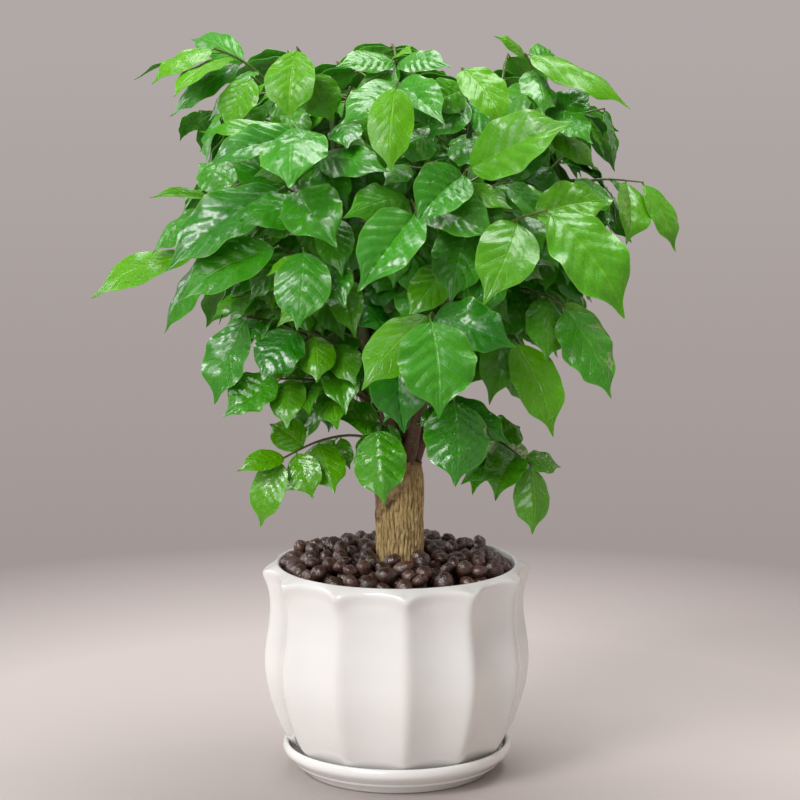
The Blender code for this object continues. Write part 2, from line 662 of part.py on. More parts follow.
def make_leaves(stems, solid):
    leaves, trees = place_rachises(stems, solid)
    taken = [("", tree) for tree in [*stems.values(), *solid]] + list(trees.items())
    blades = place_leaflets(leaves, taken)
    for name, (path, placed, _) in leaves.items():
        if not blades[name]:
            print("no leaflet has room on leaf", name)
            continue
        leaf = add_object("leaf_" + name, to_mesh(tube(path, rachis_radii(path), 0), "rachis"))
        form = bmesh.new()
        for leaflet, fine in blades[name]:
            leaflet_form(form, leaflet, STATIONS[fine], 0)
        union(leaf, add_object("blades", to_mesh(form, "blades")))
        age = placed[0][4] if placed else 0.7
        finish(leaf, (0.16 - 0.14 * age, 0.42 - 0.28 * age, 0.012), 0.35)
    print("leaflets", sum(len(found) for found in blades.values()))


def obstacle(name):
    """The finished mesh of a piece, as something that leaves keep clear of."""
    form = bmesh.new()
    form.from_mesh(evaluated_mesh(bpy.data.objects[name]))
    tree = BVHTree.FromBMesh(form)
    form.free()
    return tree


clear_scene()
PLANT = collection("potted_china_doll_plant")
GUIDES = collection("guides")
make_saucer()
make_pot()
make_soil()
make_clay_balls()
make_trunk()
stem_bodies = make_stems()
make_leaves(stem_bodies, [obstacle("pot"), obstacle("clay_balls"), obstacle("trunk")])
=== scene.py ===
import math
import random

import bmesh
import bpy
from mathutils import Matrix, Vector, noise
from mathutils.bvhtree import BVHTree
from mathutils.kdtree import KDTree


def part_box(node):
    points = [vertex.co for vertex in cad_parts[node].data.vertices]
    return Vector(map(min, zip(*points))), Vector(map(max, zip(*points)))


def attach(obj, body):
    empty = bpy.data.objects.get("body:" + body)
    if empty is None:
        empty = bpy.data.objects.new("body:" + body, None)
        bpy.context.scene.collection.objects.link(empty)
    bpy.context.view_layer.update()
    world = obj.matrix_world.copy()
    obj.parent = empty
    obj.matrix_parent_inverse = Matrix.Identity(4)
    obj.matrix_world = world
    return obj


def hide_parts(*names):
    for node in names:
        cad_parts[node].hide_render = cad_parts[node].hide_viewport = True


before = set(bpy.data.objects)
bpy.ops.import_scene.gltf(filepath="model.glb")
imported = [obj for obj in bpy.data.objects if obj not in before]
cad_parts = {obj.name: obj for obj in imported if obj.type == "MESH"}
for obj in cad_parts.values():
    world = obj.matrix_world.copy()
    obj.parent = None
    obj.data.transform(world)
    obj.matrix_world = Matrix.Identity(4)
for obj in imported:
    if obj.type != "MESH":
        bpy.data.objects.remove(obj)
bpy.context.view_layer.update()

# ---- Saucer
# A round dish of white stoneware with a rolled rim, thrown and turned, then dipped in a clear white
# glaze and fired. It stands loose under the pot. Its underside is wiped clean, so it shows bare clay.

MM = 0.001
UP = Vector((0, 0, 1))
SAUCER_SIDES = 144
# From the middle of the floor over the rim to the underside, as (radius, height) in millimetres.
SAUCER_PROFILE = ((0, 4.7), (30, 4.7), (56, 4.7), (60.5, 5), (62.4, 6.2), (63.3, 8.2), (64, 11.5),
                  (64.5, 15), (65.2, 17), (66.6, 18), (68, 17.3), (68.7, 15.2), (68.4, 13), (66.8, 10.9),
                  (63.6, 8), (60, 5), (57.6, 2.6), (56.3, 1), (55.2, 0.2), (53.5, 0), (0, 0))


def node(tree, kind, inputs=(), **settings):
    """A new shader node. Each input is a plain value or the output of another node."""
    made = tree.nodes.new("ShaderNode" + kind)
    for name, value in settings.items():
        setattr(made, name, value)
    for key, value in dict(inputs).items():
        if isinstance(value, bpy.types.NodeSocket):
            tree.links.new(value, made.inputs[key])
        else:
            made.inputs[key].default_value = value
    return made


def maths(tree, operation, *values, clamp=False):
    return node(tree, "Math", enumerate(values), operation=operation, use_clamp=clamp).outputs[0]


def times(tree, first, second):
    return maths(tree, "MULTIPLY", first, second)


def spread(tree, value, low, high, bottom=0, top=1):
    """The value with low to high spread over bottom to top, and held at both ends."""
    return node(tree, "MapRange", enumerate((value, low, high, bottom, top))).outputs[0]


def colours(tree, share, first, second, kind="MIX"):
    """Two colours mixed by a share."""
    first = (*first, 1) if isinstance(first, tuple) else first
    second = (*second, 1) if isinstance(second, tuple) else second
    mix = node(tree, "Mix", {0: share, 6: first, 7: second}, data_type="RGBA", blend_type=kind)
    return mix.outputs[2]


def grain(tree, place, scale, detail=2, roughness=0.5):
    """A noise from 0 to 1 over a place."""
    return node(tree, "TexNoise", {"Vector": place, "Scale": scale, "Detail": detail,
                                   "Roughness": roughness}).outputs[0]


def along_axis(tree, place, axis):
    """How far a place lies along one axis."""
    return node(tree, "SeparateXYZ", {0: place}).outputs[axis]


def carried(tree, name, output="Fac"):
    """A value that the form itself carries from point to point."""
    return node(tree, "Attribute", attribute_name=name).outputs[output]


def new_finish(name):
    """A material with its node tree, its shader and the place on the object."""
    skin = bpy.data.materials.new(name)
    skin.use_nodes = True
    tree = skin.node_tree
    return skin, tree, tree.nodes["Principled BSDF"], node(tree, "TexCoord").outputs["Object"]


def set_shader(tree, shader, height=None, depth=0.0, **inputs):
    """Fills the shader's inputs, and its normal from a height in metres where one is given."""
    for name, value in inputs.items():
        socket = shader.inputs[name.replace("_", " ")]
        if isinstance(value, bpy.types.NodeSocket):
            tree.links.new(value, socket)
        else:
            socket.default_value = (*value, 1) if socket.type == "RGBA" else value
    if height is not None:
        bump = node(tree, "Bump", {"Height": height, "Distance": depth, "Strength": 1.0})
        tree.links.new(bump.outputs[0], shader.inputs["Normal"])


def new_group(name, inputs, outputs):
    """An empty group of nodes with named inputs and outputs."""
    group = bpy.data.node_groups.new(name, "ShaderNodeTree")
    for label, kind, value in inputs:
        socket = group.interface.new_socket(label, in_out="INPUT", socket_type="NodeSocket" + kind)
        if value is not None:
            socket.default_value = value
    for label, kind in outputs:
        group.interface.new_socket(label, in_out="OUTPUT", socket_type="NodeSocket" + kind)
    return group, group.nodes.new("NodeGroupInput").outputs, group.nodes.new("NodeGroupOutput").inputs


def glaze_group():
    """White glaze: faint clouds of colour, a little thinner and warmer on edges, softly uneven."""
    group, given, out = new_group(
        "poured_glaze",
        (("Place", "Vector", None), ("Thin", "Float", 0.0), ("Glaze", "Color", (1, 1, 1, 1)),
         ("Clay", "Color", (1, 1, 1, 1))),
        (("Colour", "Color"), ("Roughness", "Float"), ("Height", "Float")))
    clouds = grain(group, given["Place"], 22, 3)
    pooled = colours(group, spread(group, clouds, 0.3, 0.7, 0, 0.1), given["Glaze"], given["Clay"])
    thinned = colours(group, times(group, given["Thin"], 0.12), pooled, given["Clay"])
    group.links.new(thinned, out["Colour"])
    group.links.new(spread(group, clouds, 0.3, 0.7, 0.07, 0.13), out["Roughness"])
    group.links.new(grain(group, given["Place"], 55, 1), out["Height"])
    return group


def new_object(name, data):
    """An object in the scene, at its origin."""
    made = bpy.data.objects.new(name, data)
    bpy.context.scene.collection.objects.link(made)
    return made


def add_piece(form, name, skin, slot, *stands_for, crease=50):
    """Makes a finished form a piece that rides on the one body and stands for its solids."""
    mesh = bpy.data.meshes.new(name)
    form.to_mesh(mesh)
    form.free()
    mesh.materials.append(skin)
    mesh.shade_smooth()
    mesh.set_sharp_from_angle(angle=math.radians(crease))
    piece = new_object(name, mesh)
    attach(piece, "root")
    if stands_for:
        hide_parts(*stands_for)
    return piece


def smooth_path(points, steps):
    """Points along a smooth curve through the given ones."""
    ends = [points[0] * 2 - points[1], *points, points[-1] * 2 - points[-2]]
    path = []
    for before, start, end, after in zip(ends, ends[1:], ends[2:], ends[3:]):
        for step in range(steps):
            t = step / steps
            path.append(0.5 * (2 * start + (end - before) * t
                               + (2 * before - 5 * start + 4 * end - after) * t ** 2
                               + (3 * start - before - 3 * end + after) * t ** 3))
    path.append(points[-1].copy())
    return path


def spin_round(form, knots, sides):
    """Joins knots in a line and spins it once round the upright axis."""
    for start, end in zip(knots, knots[1:]):
        form.edges.new((start, end))
    bmesh.ops.spin(form, geom=form.verts[:] + form.edges[:], cent=(0, 0, 0), axis=(0, 0, 1),
                   angle=math.tau, steps=sides, use_merge=True)


def turned(profile, sides):
    """A form turned from a profile of (radius, height) in metres."""
    form = bmesh.new()
    spin_round(form, [form.verts.new((radius, 0, height)) for radius, height in profile], sides)
    bmesh.ops.remove_doubles(form, verts=form.verts, dist=0.001 * MM)
    bmesh.ops.recalc_face_normals(form, faces=form.faces)
    return form


GLAZE = (0.84, 0.825, 0.805)
BARE_CLAY = (0.66, 0.57, 0.47)
poured_glaze = glaze_group()


def glazed_skin(name, foot_height, thin=None):
    """The glaze over a bare foot, which is wiped clean up to a height."""
    skin, tree, shader, place = new_finish(name)
    glaze = node(tree, "Group", node_tree=poured_glaze)
    for key, value in (("Glaze", (*GLAZE, 1)), ("Clay", (*BARE_CLAY, 1))):
        glaze.inputs[key].default_value = value
    tree.links.new(place, glaze.inputs["Place"])
    if thin:
        tree.links.new(carried(tree, thin), glaze.inputs["Thin"])
    height = along_axis(tree, place, "Z")
    bare = spread(tree, height, foot_height - 0.2 * MM, foot_height + 0.2 * MM, 1, 0)
    set_shader(tree, shader, glaze.outputs["Height"], 0.12 * MM,
               Base_Color=colours(tree, bare, glaze.outputs["Colour"], BARE_CLAY),
               Roughness=colours(tree, bare, glaze.outputs["Roughness"], (0.8, 0.8, 0.8)),
               Coat_Weight=0.5, Coat_Roughness=0.05)
    return skin


saucer_line = smooth_path([Vector(point) * MM for point in SAUCER_PROFILE[2:-1]], 3)
saucer_line = [Vector(SAUCER_PROFILE[0]) * MM, *saucer_line, Vector(SAUCER_PROFILE[-1]) * MM]
add_piece(turned(saucer_line, SAUCER_SIDES), "glazed_saucer", glazed_skin("saucer_glaze", 0.25 * MM),
          "saucer_glaze", "saucer", crease=80)

# ---- Pot
# A cast stoneware pot in the same white glaze: round inside, outside twelve hollow flutes that end in
# rounded arches under the lip, whose top slopes outwards to a corner over every ridge.

FLUTES = 12
FLUTE_SIDES = 22
CREST = 0.84        # from here to a ridge, across a flute, the surface rounds over
ARCH_POWER = 4      # the higher, the flatter the arch over a flute
FLUTE_TURN = math.radians(-86)
# Up the outside, from the drain hole over the lip's edge: radius and height of a ridge, then how much
# further in and how much higher the middle of a flute lies. The inside is plain round.
POT_OUTSIDE = ((7, 5, 0, 0), (20, 5, 0, 0), (45, 5, 0, 0), (48, 5, 0.3, 0), (49.6, 5.3, 0.5, 0),
               (52.5, 7, 1, 0), (56, 9.6, 1.5, 0), (60, 13, 2, 0), (65.6, 19, 3, 0), (71, 29, 3.9, 0),
               (76.2, 44.5, 4.6, 0), (79, 58, 4.9, 0), (79.5, 70, 5, 0), (78.6, 80, 4.9, 0),
               (77, 90, 4.8, 0), (76.1, 100, 4.6, 0), (76.3, 106, 4.4, 0.6), (77.1, 111, 4.4, 1.8),
               (78.2, 114.6, 5, 2.8), (79.3, 117.4, 5.4, 3.1), (80, 119.2, 5.7, 3), (80.3, 120.6, 5.9, 2.7))
POT_LIP = ((80.3, 121.6, 6, 2.4), (79.9, 122.5, 5.9, 2.2), (79, 123.1, 5.4, 2.1), (76, 124.9, 3.2, 1.2),
           (73, 126.5, 1.2, 0.4), (71.9, 126.95, 0.4, 0.1), (71.2, 127, 0, 0), (70.6, 126.7, 0, 0),
           (70.1, 125.8, 0, 0))
POT_INSIDE = ((69.6, 122), (68.2, 114), (67.6, 108), (68.6, 92), (69.4, 78), (68.6, 60), (66.5, 46),
              (63, 34), (60, 27), (55, 19), (50, 13.6), (44, 11), (20, 11), (7, 11))


def fluted(rows, sides):
    """A form turned from rows of a ridge's radius and height and the flute's depth and rise."""
    form = bmesh.new()
    depth_of = form.verts.layers.float.new("depth")
    rise_of = form.verts.layers.float.new("rise")
    thin_of = form.verts.layers.float.new("thin")
    knots = []
    for radius, height, depth, rise in rows:
        knot = form.verts.new((radius, 0, height))
        knot[depth_of] = depth
        knot[rise_of] = rise
        knots.append(knot)
    spin_round(form, knots + knots[:1], sides)
    bmesh.ops.rotate(form, verts=form.verts, cent=(0, 0, 0), matrix=Matrix.Rotation(FLUTE_TURN, 3, "Z"))
    for vert in form.verts:
        turn = (math.atan2(vert.co.y, vert.co.x) - FLUTE_TURN) % math.tau
        across = 2 * (turn * FLUTES / math.tau % 1) - 1
        crest = max(0, abs(across) - CREST) ** 2 / (1 - CREST)
        hollow = (CREST - across ** 2 + crest) / CREST
        arch = 1 - min(1, abs(across) / 0.95) ** ARCH_POWER
        radius = math.hypot(vert.co.x, vert.co.y)
        scale = (radius - vert[depth_of] * hollow) / radius
        vert[thin_of] = min(1, vert[depth_of] / (3 * MM)) * max(0, abs(across) * 5 - 4)
        vert.co = (vert.co.x * scale, vert.co.y * scale, vert.co.z + vert[rise_of] * arch)
    bmesh.ops.recalc_face_normals(form, faces=form.faces)
    return form


def smooth_rows(rows, steps):
    """Rows of numbers in millimetres, as a smooth run in metres."""
    places = smooth_path([Vector(row) * MM for row in rows], steps)
    return [tuple(place) for place in places]


pot_rows = [tuple(Vector(row) * MM) for row in POT_OUTSIDE[:3]] + smooth_rows(POT_OUTSIDE[3:], 3)
pot_rows += smooth_rows(POT_LIP, 2)
pot_rows += [(*place, 0, 0) for place in smooth_rows(POT_INSIDE[:-2], 3)]
pot_rows += [(radius * MM, height * MM, 0, 0) for radius, height in POT_INSIDE[-2:]]
add_piece(fluted(pot_rows, FLUTES * FLUTE_SIDES), "fluted_pot", glazed_skin("pot_glaze", 5.3 * MM, "thin"),
          "pot_glaze", "pot", crease=80)

# ---- Potting soil
# Dark peaty soil with bark crumbs, pressed into the pot up to the clay balls. Hardly any of it shows,
# so it is the solid itself that gets the finish.


def plus(tree, first, second, clamp=False):
    return maths(tree, "ADD", first, second, clamp=clamp)


def soil_skin():
    skin, tree, shader, place = new_finish("peaty_soil")
    crumbs = node(tree, "TexVoronoi", {"Vector": place, "Scale": 420}).outputs["Distance"]
    mottle = grain(tree, place, 160, 4)
    dark = colours(tree, mottle, (0.012, 0.008, 0.005), (0.06, 0.036, 0.02))
    set_shader(tree, shader, plus(tree, crumbs, mottle), 1.2 * MM,
               Base_Color=colours(tree, spread(tree, crumbs, 0.5, 0.75), dark, (0.11, 0.07, 0.04)),
               Roughness=spread(tree, mottle, 0.3, 0.7, 0.85, 1))
    return skin


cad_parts["potting_soil"].material_slots[0].material = soil_skin()

# ---- Clay balls
# Small fired clay balls in dark brown, washed and still glossy, poured on the soil as a shallow mound
# round the trunk. They keep the soil in place; each is a slightly flattened lump of its own size.

TRUNK_X = 1.5 * MM
TRUNK_RADIUS = 14.2 * MM
GAP = 0.3 * MM             # air between two pieces that touch
BALL_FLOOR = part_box("potting_soil")[1].z + GAP
BALL_RADII = (4.4, 7.2)    # in millimetres
BALL_TRIES = 34
BALL_MISSES = 30           # the mound is full once so many balls in a row have found no place
MOUND_HEIGHT = 138.5 * MM
MOUND_RADIUS = 68 * MM
MOUND_FALL = 6.5 * MM
POT_BORE = 70.4 * MM
# Below the lip the pot is narrower: a ball that reaches past NARROW_BORE lies above NARROW_TOP.
NARROW_BORE = 69 * MM
NARROW_TOP = 125 * MM


def mound_top(radius):
    """How high the balls are heaped at a distance from the middle."""
    return MOUND_HEIGHT - MOUND_FALL * (radius / MOUND_RADIUS) ** 6


def resting_height(x, y, size, balls):
    """Height of the middle of a ball that is dropped here on the soil and the balls below."""
    height = BALL_FLOOR + size
    for place, other in balls:
        reach = (size + other) * 0.87
        gap = (place.x - x) ** 2 + (place.y - y) ** 2
        if gap < reach ** 2:
            height = max(height, place.z + math.sqrt(reach ** 2 - gap))
    return height


def poured_balls():
    """Drops balls one by one, each into the lowest of a few places, until the mound is full."""
    chance = random.Random(4)
    balls = []
    missed = 0
    while missed < BALL_MISSES:
        size = chance.uniform(*BALL_RADII) * MM
        found = None
        for _ in range(BALL_TRIES):
            reach = math.sqrt(chance.uniform(0.05, 1)) * (POT_BORE - size)
            turn = chance.uniform(0, math.tau)
            x, y = reach * math.cos(turn), reach * math.sin(turn)
            if math.hypot(x - TRUNK_X, y) < TRUNK_RADIUS + size * 0.95:
                continue
            height = resting_height(x, y, size, balls)
            if reach + size > NARROW_BORE and height < NARROW_TOP:
                continue
            if height + size < mound_top(reach) and (found is None or height < found.z):
                found = Vector((x, y, height))
        if found is None:
            missed += 1
            continue
        missed = 0
        balls.append((found, size))
    return balls


def clay_ball_form():
    """All the balls in one form: lumps, flattened and turned at random, each with its own tone."""
    form = bmesh.new()
    tone_of = form.verts.layers.float.new("tone")
    chance = random.Random(9)
    for place, size in poured_balls():
        made = bmesh.ops.create_icosphere(form, subdivisions=2, radius=size)
        tone = chance.random()
        squash = Matrix.Diagonal([chance.uniform(*sizes) for sizes in ((1, 1.12), (0.8, 1), (0.68, 0.88))])
        angle = chance.uniform(0, math.tau)
        turn = Matrix.Rotation(angle, 3, [chance.random() for _ in range(3)])
        for vert in made["verts"]:
            lump = 1 + 0.24 * noise.noise(vert.co / (4.2 * MM) + place * 900)
            vert.co = place + turn @ (squash @ vert.co) * lump
            vert[tone_of] = tone
    return form


def fired_clay_skin():
    skin, tree, shader, place = new_finish("fired_clay")
    tone = carried(tree, "tone")
    mottle = grain(tree, place, 330, 4, 0.6)
    pits = grain(tree, place, 1100, 2)
    base = colours(tree, tone, (0.036, 0.014, 0.010), (0.098, 0.039, 0.028))
    red = colours(tree, spread(tree, mottle, 0.5, 0.75, 0, 0.7), base, (0.135, 0.062, 0.047))
    # Where the pits lie low in the relief the colour goes nearly black: painted shade in the pits.
    pit_shaded = colours(tree, spread(tree, pits, 0.3, 0.5, 0.6, 0), red, (0.008, 0.005, 0.004))
    set_shader(tree, shader, plus(tree, mottle, times(tree, pits, 0.35)), 0.8 * MM,
               Base_Color=pit_shaded, Roughness=spread(tree, mottle, 0.3, 0.7, 0.06, 0.4), IOR=1.75)
    return skin


add_piece(clay_ball_form(), "fired_clay_balls", fired_clay_skin(), "fired_clay", "clay_balls", crease=180)

# ---- Trunk
# A pruned woody stem. Its corky tan bark is split into fine upright furrows; higher up come knobs and
# reddish scars of old shoots, and the top is a sloping saw cut that the bark has begun to close over.

CUT_HEIGHT = 191 * MM
CUT_SLOPE = -0.28
TRUNK_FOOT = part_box("trunk")[0].z
TRUNK_SIDES = 240
FURROWS = 36
TRUNK_LEVELS = 84
SCAR_HEIGHT = 166 * MM
SCAR_TILT = 18 * MM
SCAR_FADE = 14 * MM
TILT_START = 146 * MM      # from here up, the rings lean into the cut


def outwards(turn):
    """The level direction at an angle round the trunk."""
    return Vector((math.cos(turn), math.sin(turn), 0))


def scar_share(turn, height):
    """How far a place lies above the oblique edge of the scarred zone, from 0 to 1."""
    across = outwards(turn)
    ragged = 3.5 * MM * noise.noise(across * 3.2)
    ragged += 2 * MM * noise.noise(across * 8 + UP * height / (3 * MM))
    edge = SCAR_HEIGHT + SCAR_TILT * math.cos(turn) + ragged
    return max(0, min(1, (height - edge) / SCAR_FADE))


def furrow_share(turn, height):
    """How far a place is out of the furrows of the bark: 0 in the bottom of one, 1 on a ridge."""
    across = outwards(turn)
    wander = 2.4 * noise.noise(across * 1.9 + UP * height / (16 * MM))
    wander += 0.8 * noise.noise(across * 5 + UP * height / (6 * MM))
    closed = max(0, noise.noise(across * 7 + UP * height / (7 * MM) + Vector((5, 0, 0)))) * 2.2
    return min(1, abs(math.sin(FURROWS / 2 * turn + wander)) / 0.7 + closed)


def bark_swell(turn, height):
    """How much the bark stands out at a direction and a height."""
    scar = scar_share(turn, height)
    across = outwards(turn)
    ridges = math.sqrt(furrow_share(turn, height))
    fine = noise.noise(across * 13 + UP * height / (2.6 * MM))
    knobs = noise.noise(across * 2.6 + UP * height / (7 * MM) + Vector((9, 0, 0)))
    warts = noise.noise(across * 6 + UP * height / (3.2 * MM))
    ribs = 0.45 * math.sin(5 * turn + height / (9 * MM)) + 0.4 * math.sin(3 * turn - height / (14 * MM))
    low = 1.1 * ridges - 0.75 + 0.55 * fine
    rim = math.exp(-((scar - 0.35) / 0.25) ** 2) * max(0, 0.7 + 2.2 * warts)
    high = 1.3 * knobs + 0.5 * warts + 0.1 + rim
    flare = max(0, min(1, (150 * MM - height) / (17 * MM)))
    return (ribs + low * (1 - scar) + high * scar - 0.4 * flare) * MM


def trunk_form():
    """A cylinder, spun, whose rings tilt upwards into the cut and whose surface is barked."""
    rows = [(0, TRUNK_FOOT)]
    for level in range(TRUNK_LEVELS + 1):
        rows.append((TRUNK_RADIUS, TRUNK_FOOT + (CUT_HEIGHT - TRUNK_FOOT) * level / TRUNK_LEVELS))
    cut = [(TRUNK_RADIUS * share, CUT_HEIGHT) for share in (0.93, 0.84, 0.78, 0.74, 0.5, 0.25, 0)]
    form = turned(rows + cut, TRUNK_SIDES)
    scar_of = form.verts.layers.float.new("scar")
    cut_of = form.verts.layers.float.new("cut")
    ridge_of = form.verts.layers.float.new("ridge")
    for vert in form.verts:
        x, y, height = vert.co
        turn = math.atan2(y, x)
        radius = math.hypot(x, y)
        share = radius / TRUNK_RADIUS
        below = height < CUT_HEIGHT - 0.01 * MM
        tilt = max(0, (height - TILT_START) / (CUT_HEIGHT - TILT_START))
        if below and share > 0.99:
            vert[scar_of] = scar_share(turn, height)
            vert[ridge_of] = furrow_share(turn, height)
            shoulder = (1.6 + 1.2 * noise.noise(outwards(turn) * 2.5)) * tilt ** 9
            radius += bark_swell(turn, height) - 0.35 * MM - shoulder * MM
            height -= 1.3 * shoulder * MM
        elif not below:
            lip = math.exp(-((share - 0.86) / 0.06) ** 2)
            vert[cut_of] = max(0, min(1, (0.84 - share) / 0.06))
            vert[scar_of] = 1
            radius += share ** 4 * (bark_swell(turn, CUT_HEIGHT) - 1.4 * MM)
            height += (0.5 * lip - 0.9 * vert[cut_of]) * MM
        x, y = radius * math.cos(turn), radius * math.sin(turn)
        vert.co = (TRUNK_X + x, y, height + x * CUT_SLOPE * tilt)
    return form


def stretched(tree, place, *scale):
    """A place stretched along its axes."""
    return node(tree, "Mapping", {"Vector": place, "Scale": scale}).outputs[0]


def bark_skin():
    """Tan ridges with painted highlights on their crowns, furrows darkened with painted shade, a red-brown
    scarred zone above them, and grey rings on the cut.
    """
    skin, tree, shader, place = new_finish("trunk_bark")
    scar, cut, ridge = (carried(tree, name) for name in ("scar", "cut", "ridge"))
    fibres = grain(tree, stretched(tree, place, 900, 900, 210), 1, 4, 0.65)
    flakes = grain(tree, stretched(tree, place, 380, 380, 90), 1, 4, 0.6)
    blots = grain(tree, place, 160, 4, 0.6)
    tan = colours(tree, spread(tree, flakes, 0.36, 0.56), (0.28, 0.165, 0.055), (0.60, 0.41, 0.165))
    # The crowns of the ridges are painted paler: a painted highlight where the ridges catch the light.
    crown = times(tree, spread(tree, ridge, 0.6, 1), spread(tree, fibres, 0.4, 0.6))
    pale = colours(tree, crown, tan, (0.82, 0.61, 0.30))
    flecked = colours(tree, spread(tree, fibres, 0.33, 0.44, 0.5, 0), pale, (0.12, 0.07, 0.032))
    # The bottoms of the furrows are darkened nearly to black: painted shade in the furrows.
    furrow_shaded = colours(tree, spread(tree, ridge, 0.03, 0.5, 0.85, 0), flecked, (0.075, 0.040, 0.018))
    red = colours(tree, spread(tree, blots, 0.4, 0.62), (0.17, 0.085, 0.04), (0.42, 0.245, 0.115))
    callus = colours(tree, spread(tree, fibres, 0.5, 0.75, 0, 0.6), red, (0.56, 0.38, 0.2))
    banded = times(tree, spread(tree, scar, 0.1, 0.35), spread(tree, scar, 0.45, 0.8, 1, 0))
    left = spread(tree, along_axis(tree, place, "X"), -1 * MM, 7 * MM, 1, 0)
    burr = times(tree, times(tree, banded, left), spread(tree, blots, 0.45, 0.6, 0.9, 0))
    bark = colours(tree, times(tree, scar, spread(tree, blots, 0.3, 0.5, 0.75, 1)), furrow_shaded, callus)
    bark = colours(tree, burr, bark, (0.06, 0.027, 0.014))
    rings = node(tree, "TexWave", {"Vector": place, "Scale": 260.0, "Distortion": 2.0},
                 wave_type="RINGS", rings_direction="Z").outputs["Fac"]
    wood = colours(tree, rings, (0.20, 0.125, 0.055), (0.33, 0.23, 0.12))
    relief = plus(tree, times(tree, fibres, 0.6), times(tree, flakes, 0.7))
    set_shader(tree, shader, relief, 0.9 * MM, Base_Color=colours(tree, cut, bark, wood),
               Roughness=spread(tree, blots, 0.3, 0.7, 0.72, 0.95))
    return skin


add_piece(trunk_form(), "bark_trunk", bark_skin(), "bark", "trunk", crease=70)

# ---- Shoots
# Young stems that have sprouted from the cut: brown and rough at the foot, green and smooth higher up,
# a little swollen where each leaf joins. The one on the right is dark, and shows below the leaves.

# name: radius of the foot, then the path from the cut upwards, in millimetres.
STEMS = {
    "left": (4.2, ((-8, -1), (-24, -5, 240), (-43, -10, 300), (-58, -14, 360), (-66, -16, 412))),
    "front_left": (4.0, ((-3, -8.5), (-12, -28, 240), (-25, -47, 300), (-33, -56, 355), (-37, -58, 402))),
    "front_right": (4.0, ((6, -8), (16, -30, 236), (28, -50, 295), (36, -60, 350), (42, -62, 396))),
    "right": (4.0, ((10, 1), (31, -4, 230), (58, -12, 290), (78, -18, 350), (88, -20, 402))),
    "back_left": (4.0, ((-3, 8.5), (-14, 28, 240), (-33, 50, 305), (-45, 62, 365), (-50, 66, 408))),
    "back_right": (4.0, ((6, 8), (20, 30, 238), (42, 54, 300), (56, 68, 360), (62, 72, 402))),
    "centre": (3.6, ((1, 0), (0, 0, 250), (3, 1, 320), (2, 0, 380), (0, -2, 420))),
}


def stem_path(name, steps=2):
    """The smooth path and the radii of a shoot."""
    foot_radius, knots = STEMS[name]
    x, y = knots[0][0] * MM, knots[0][1] * MM
    normal = Vector((-CUT_SLOPE, 0, 1)).normalized()
    start = Vector((x, y, CUT_HEIGHT + (x - TRUNK_X) * CUT_SLOPE)) + normal * GAP
    points = [start, start + normal * 8 * MM] + [Vector(knot) * MM for knot in knots[1:]]
    path = [start] + smooth_path(points[1:], steps)
    radii = [foot_radius * MM * (1 - 0.62 * index / (len(path) - 1)) for index in range(len(path))]
    return path, radii


def stem_point(name, share):
    """The place, direction and radius at a share of a shoot's length."""
    path, radii = stem_path(name)
    lengths = [0]
    for start, end in zip(path, path[1:]):
        lengths.append(lengths[-1] + (end - start).length)
    want = share * lengths[-1]
    for index in range(len(path) - 1):
        if want <= lengths[index + 1]:
            part = (want - lengths[index]) / (lengths[index + 1] - lengths[index])
            place = path[index].lerp(path[index + 1], part)
            radius = radii[index] + (radii[index + 1] - radii[index]) * part
            return place, (path[index + 1] - path[index]).normalized(), radius
    return path[-1], (path[-1] - path[-2]).normalized(), radii[-1]


def add_tube(form, path, radii, sides, marks=None):
    """Adds a capped tube: a circle, extruded from point to point along a path."""
    made = bmesh.ops.create_circle(form, cap_ends=True, segments=sides, radius=1)
    ring = made["verts"]
    edges = list(dict.fromkeys(edge for vert in ring for edge in vert.link_edges))
    placed = Matrix.Identity(4)
    turn = UP.rotation_difference(path[1] - path[0])
    heading = (path[1] - path[0]).normalized()
    for index, (point, radius) in enumerate(zip(path, radii)):
        after = path[min(index + 1, len(path) - 1)] - path[max(index - 1, 0)]
        turn = heading.rotation_difference(after) @ turn
        heading = after.normalized()
        if index:
            made = bmesh.ops.extrude_edge_only(form, edges=edges)
            ring = [item for item in made["geom"] if isinstance(item, bmesh.types.BMVert)]
            edges = [item for item in made["geom"] if isinstance(item, bmesh.types.BMEdge)]
        there = Matrix.LocRotScale(point, turn, (radius, radius, radius))
        bmesh.ops.transform(form, verts=ring, matrix=there @ placed.inverted())
        placed = there
        if marks:
            for vert in ring:
                vert[marks[0]] = marks[1][index]
    bmesh.ops.contextual_create(form, geom=edges)


def shoot_form(name):
    """A shoot with small rings where leaves join and a rough, wider foot."""
    form = bmesh.new()
    age_of = form.verts.layers.float.new("young")
    path, radii = stem_path(name, 12)
    count = len(path) - 1
    young = [index / count for index in range(count + 1)]
    for index, share in enumerate(young):
        joint = abs(share * 9 % 1 - 0.5) * 2
        collar = 1.1 * max(0, 1 - share * 13) ** 1.5
        radii[index] += (0.35 * max(0, joint * 6 - 5) + collar) * MM
    path[0] -= UP * 2 * MM
    radii[0] *= 0.75
    add_tube(form, path, radii, 14, (age_of, young))
    for vert in form.verts:
        rough = 0.28 * MM * max(0.25, 1 - 2 * vert[age_of])
        middle = path[round(vert[age_of] * count)]
        out = (vert.co - middle).normalized()
        vert.co += out * rough * noise.noise(vert.co / (2.6 * MM))
    bmesh.ops.recalc_face_normals(form, faces=form.faces)
    return form


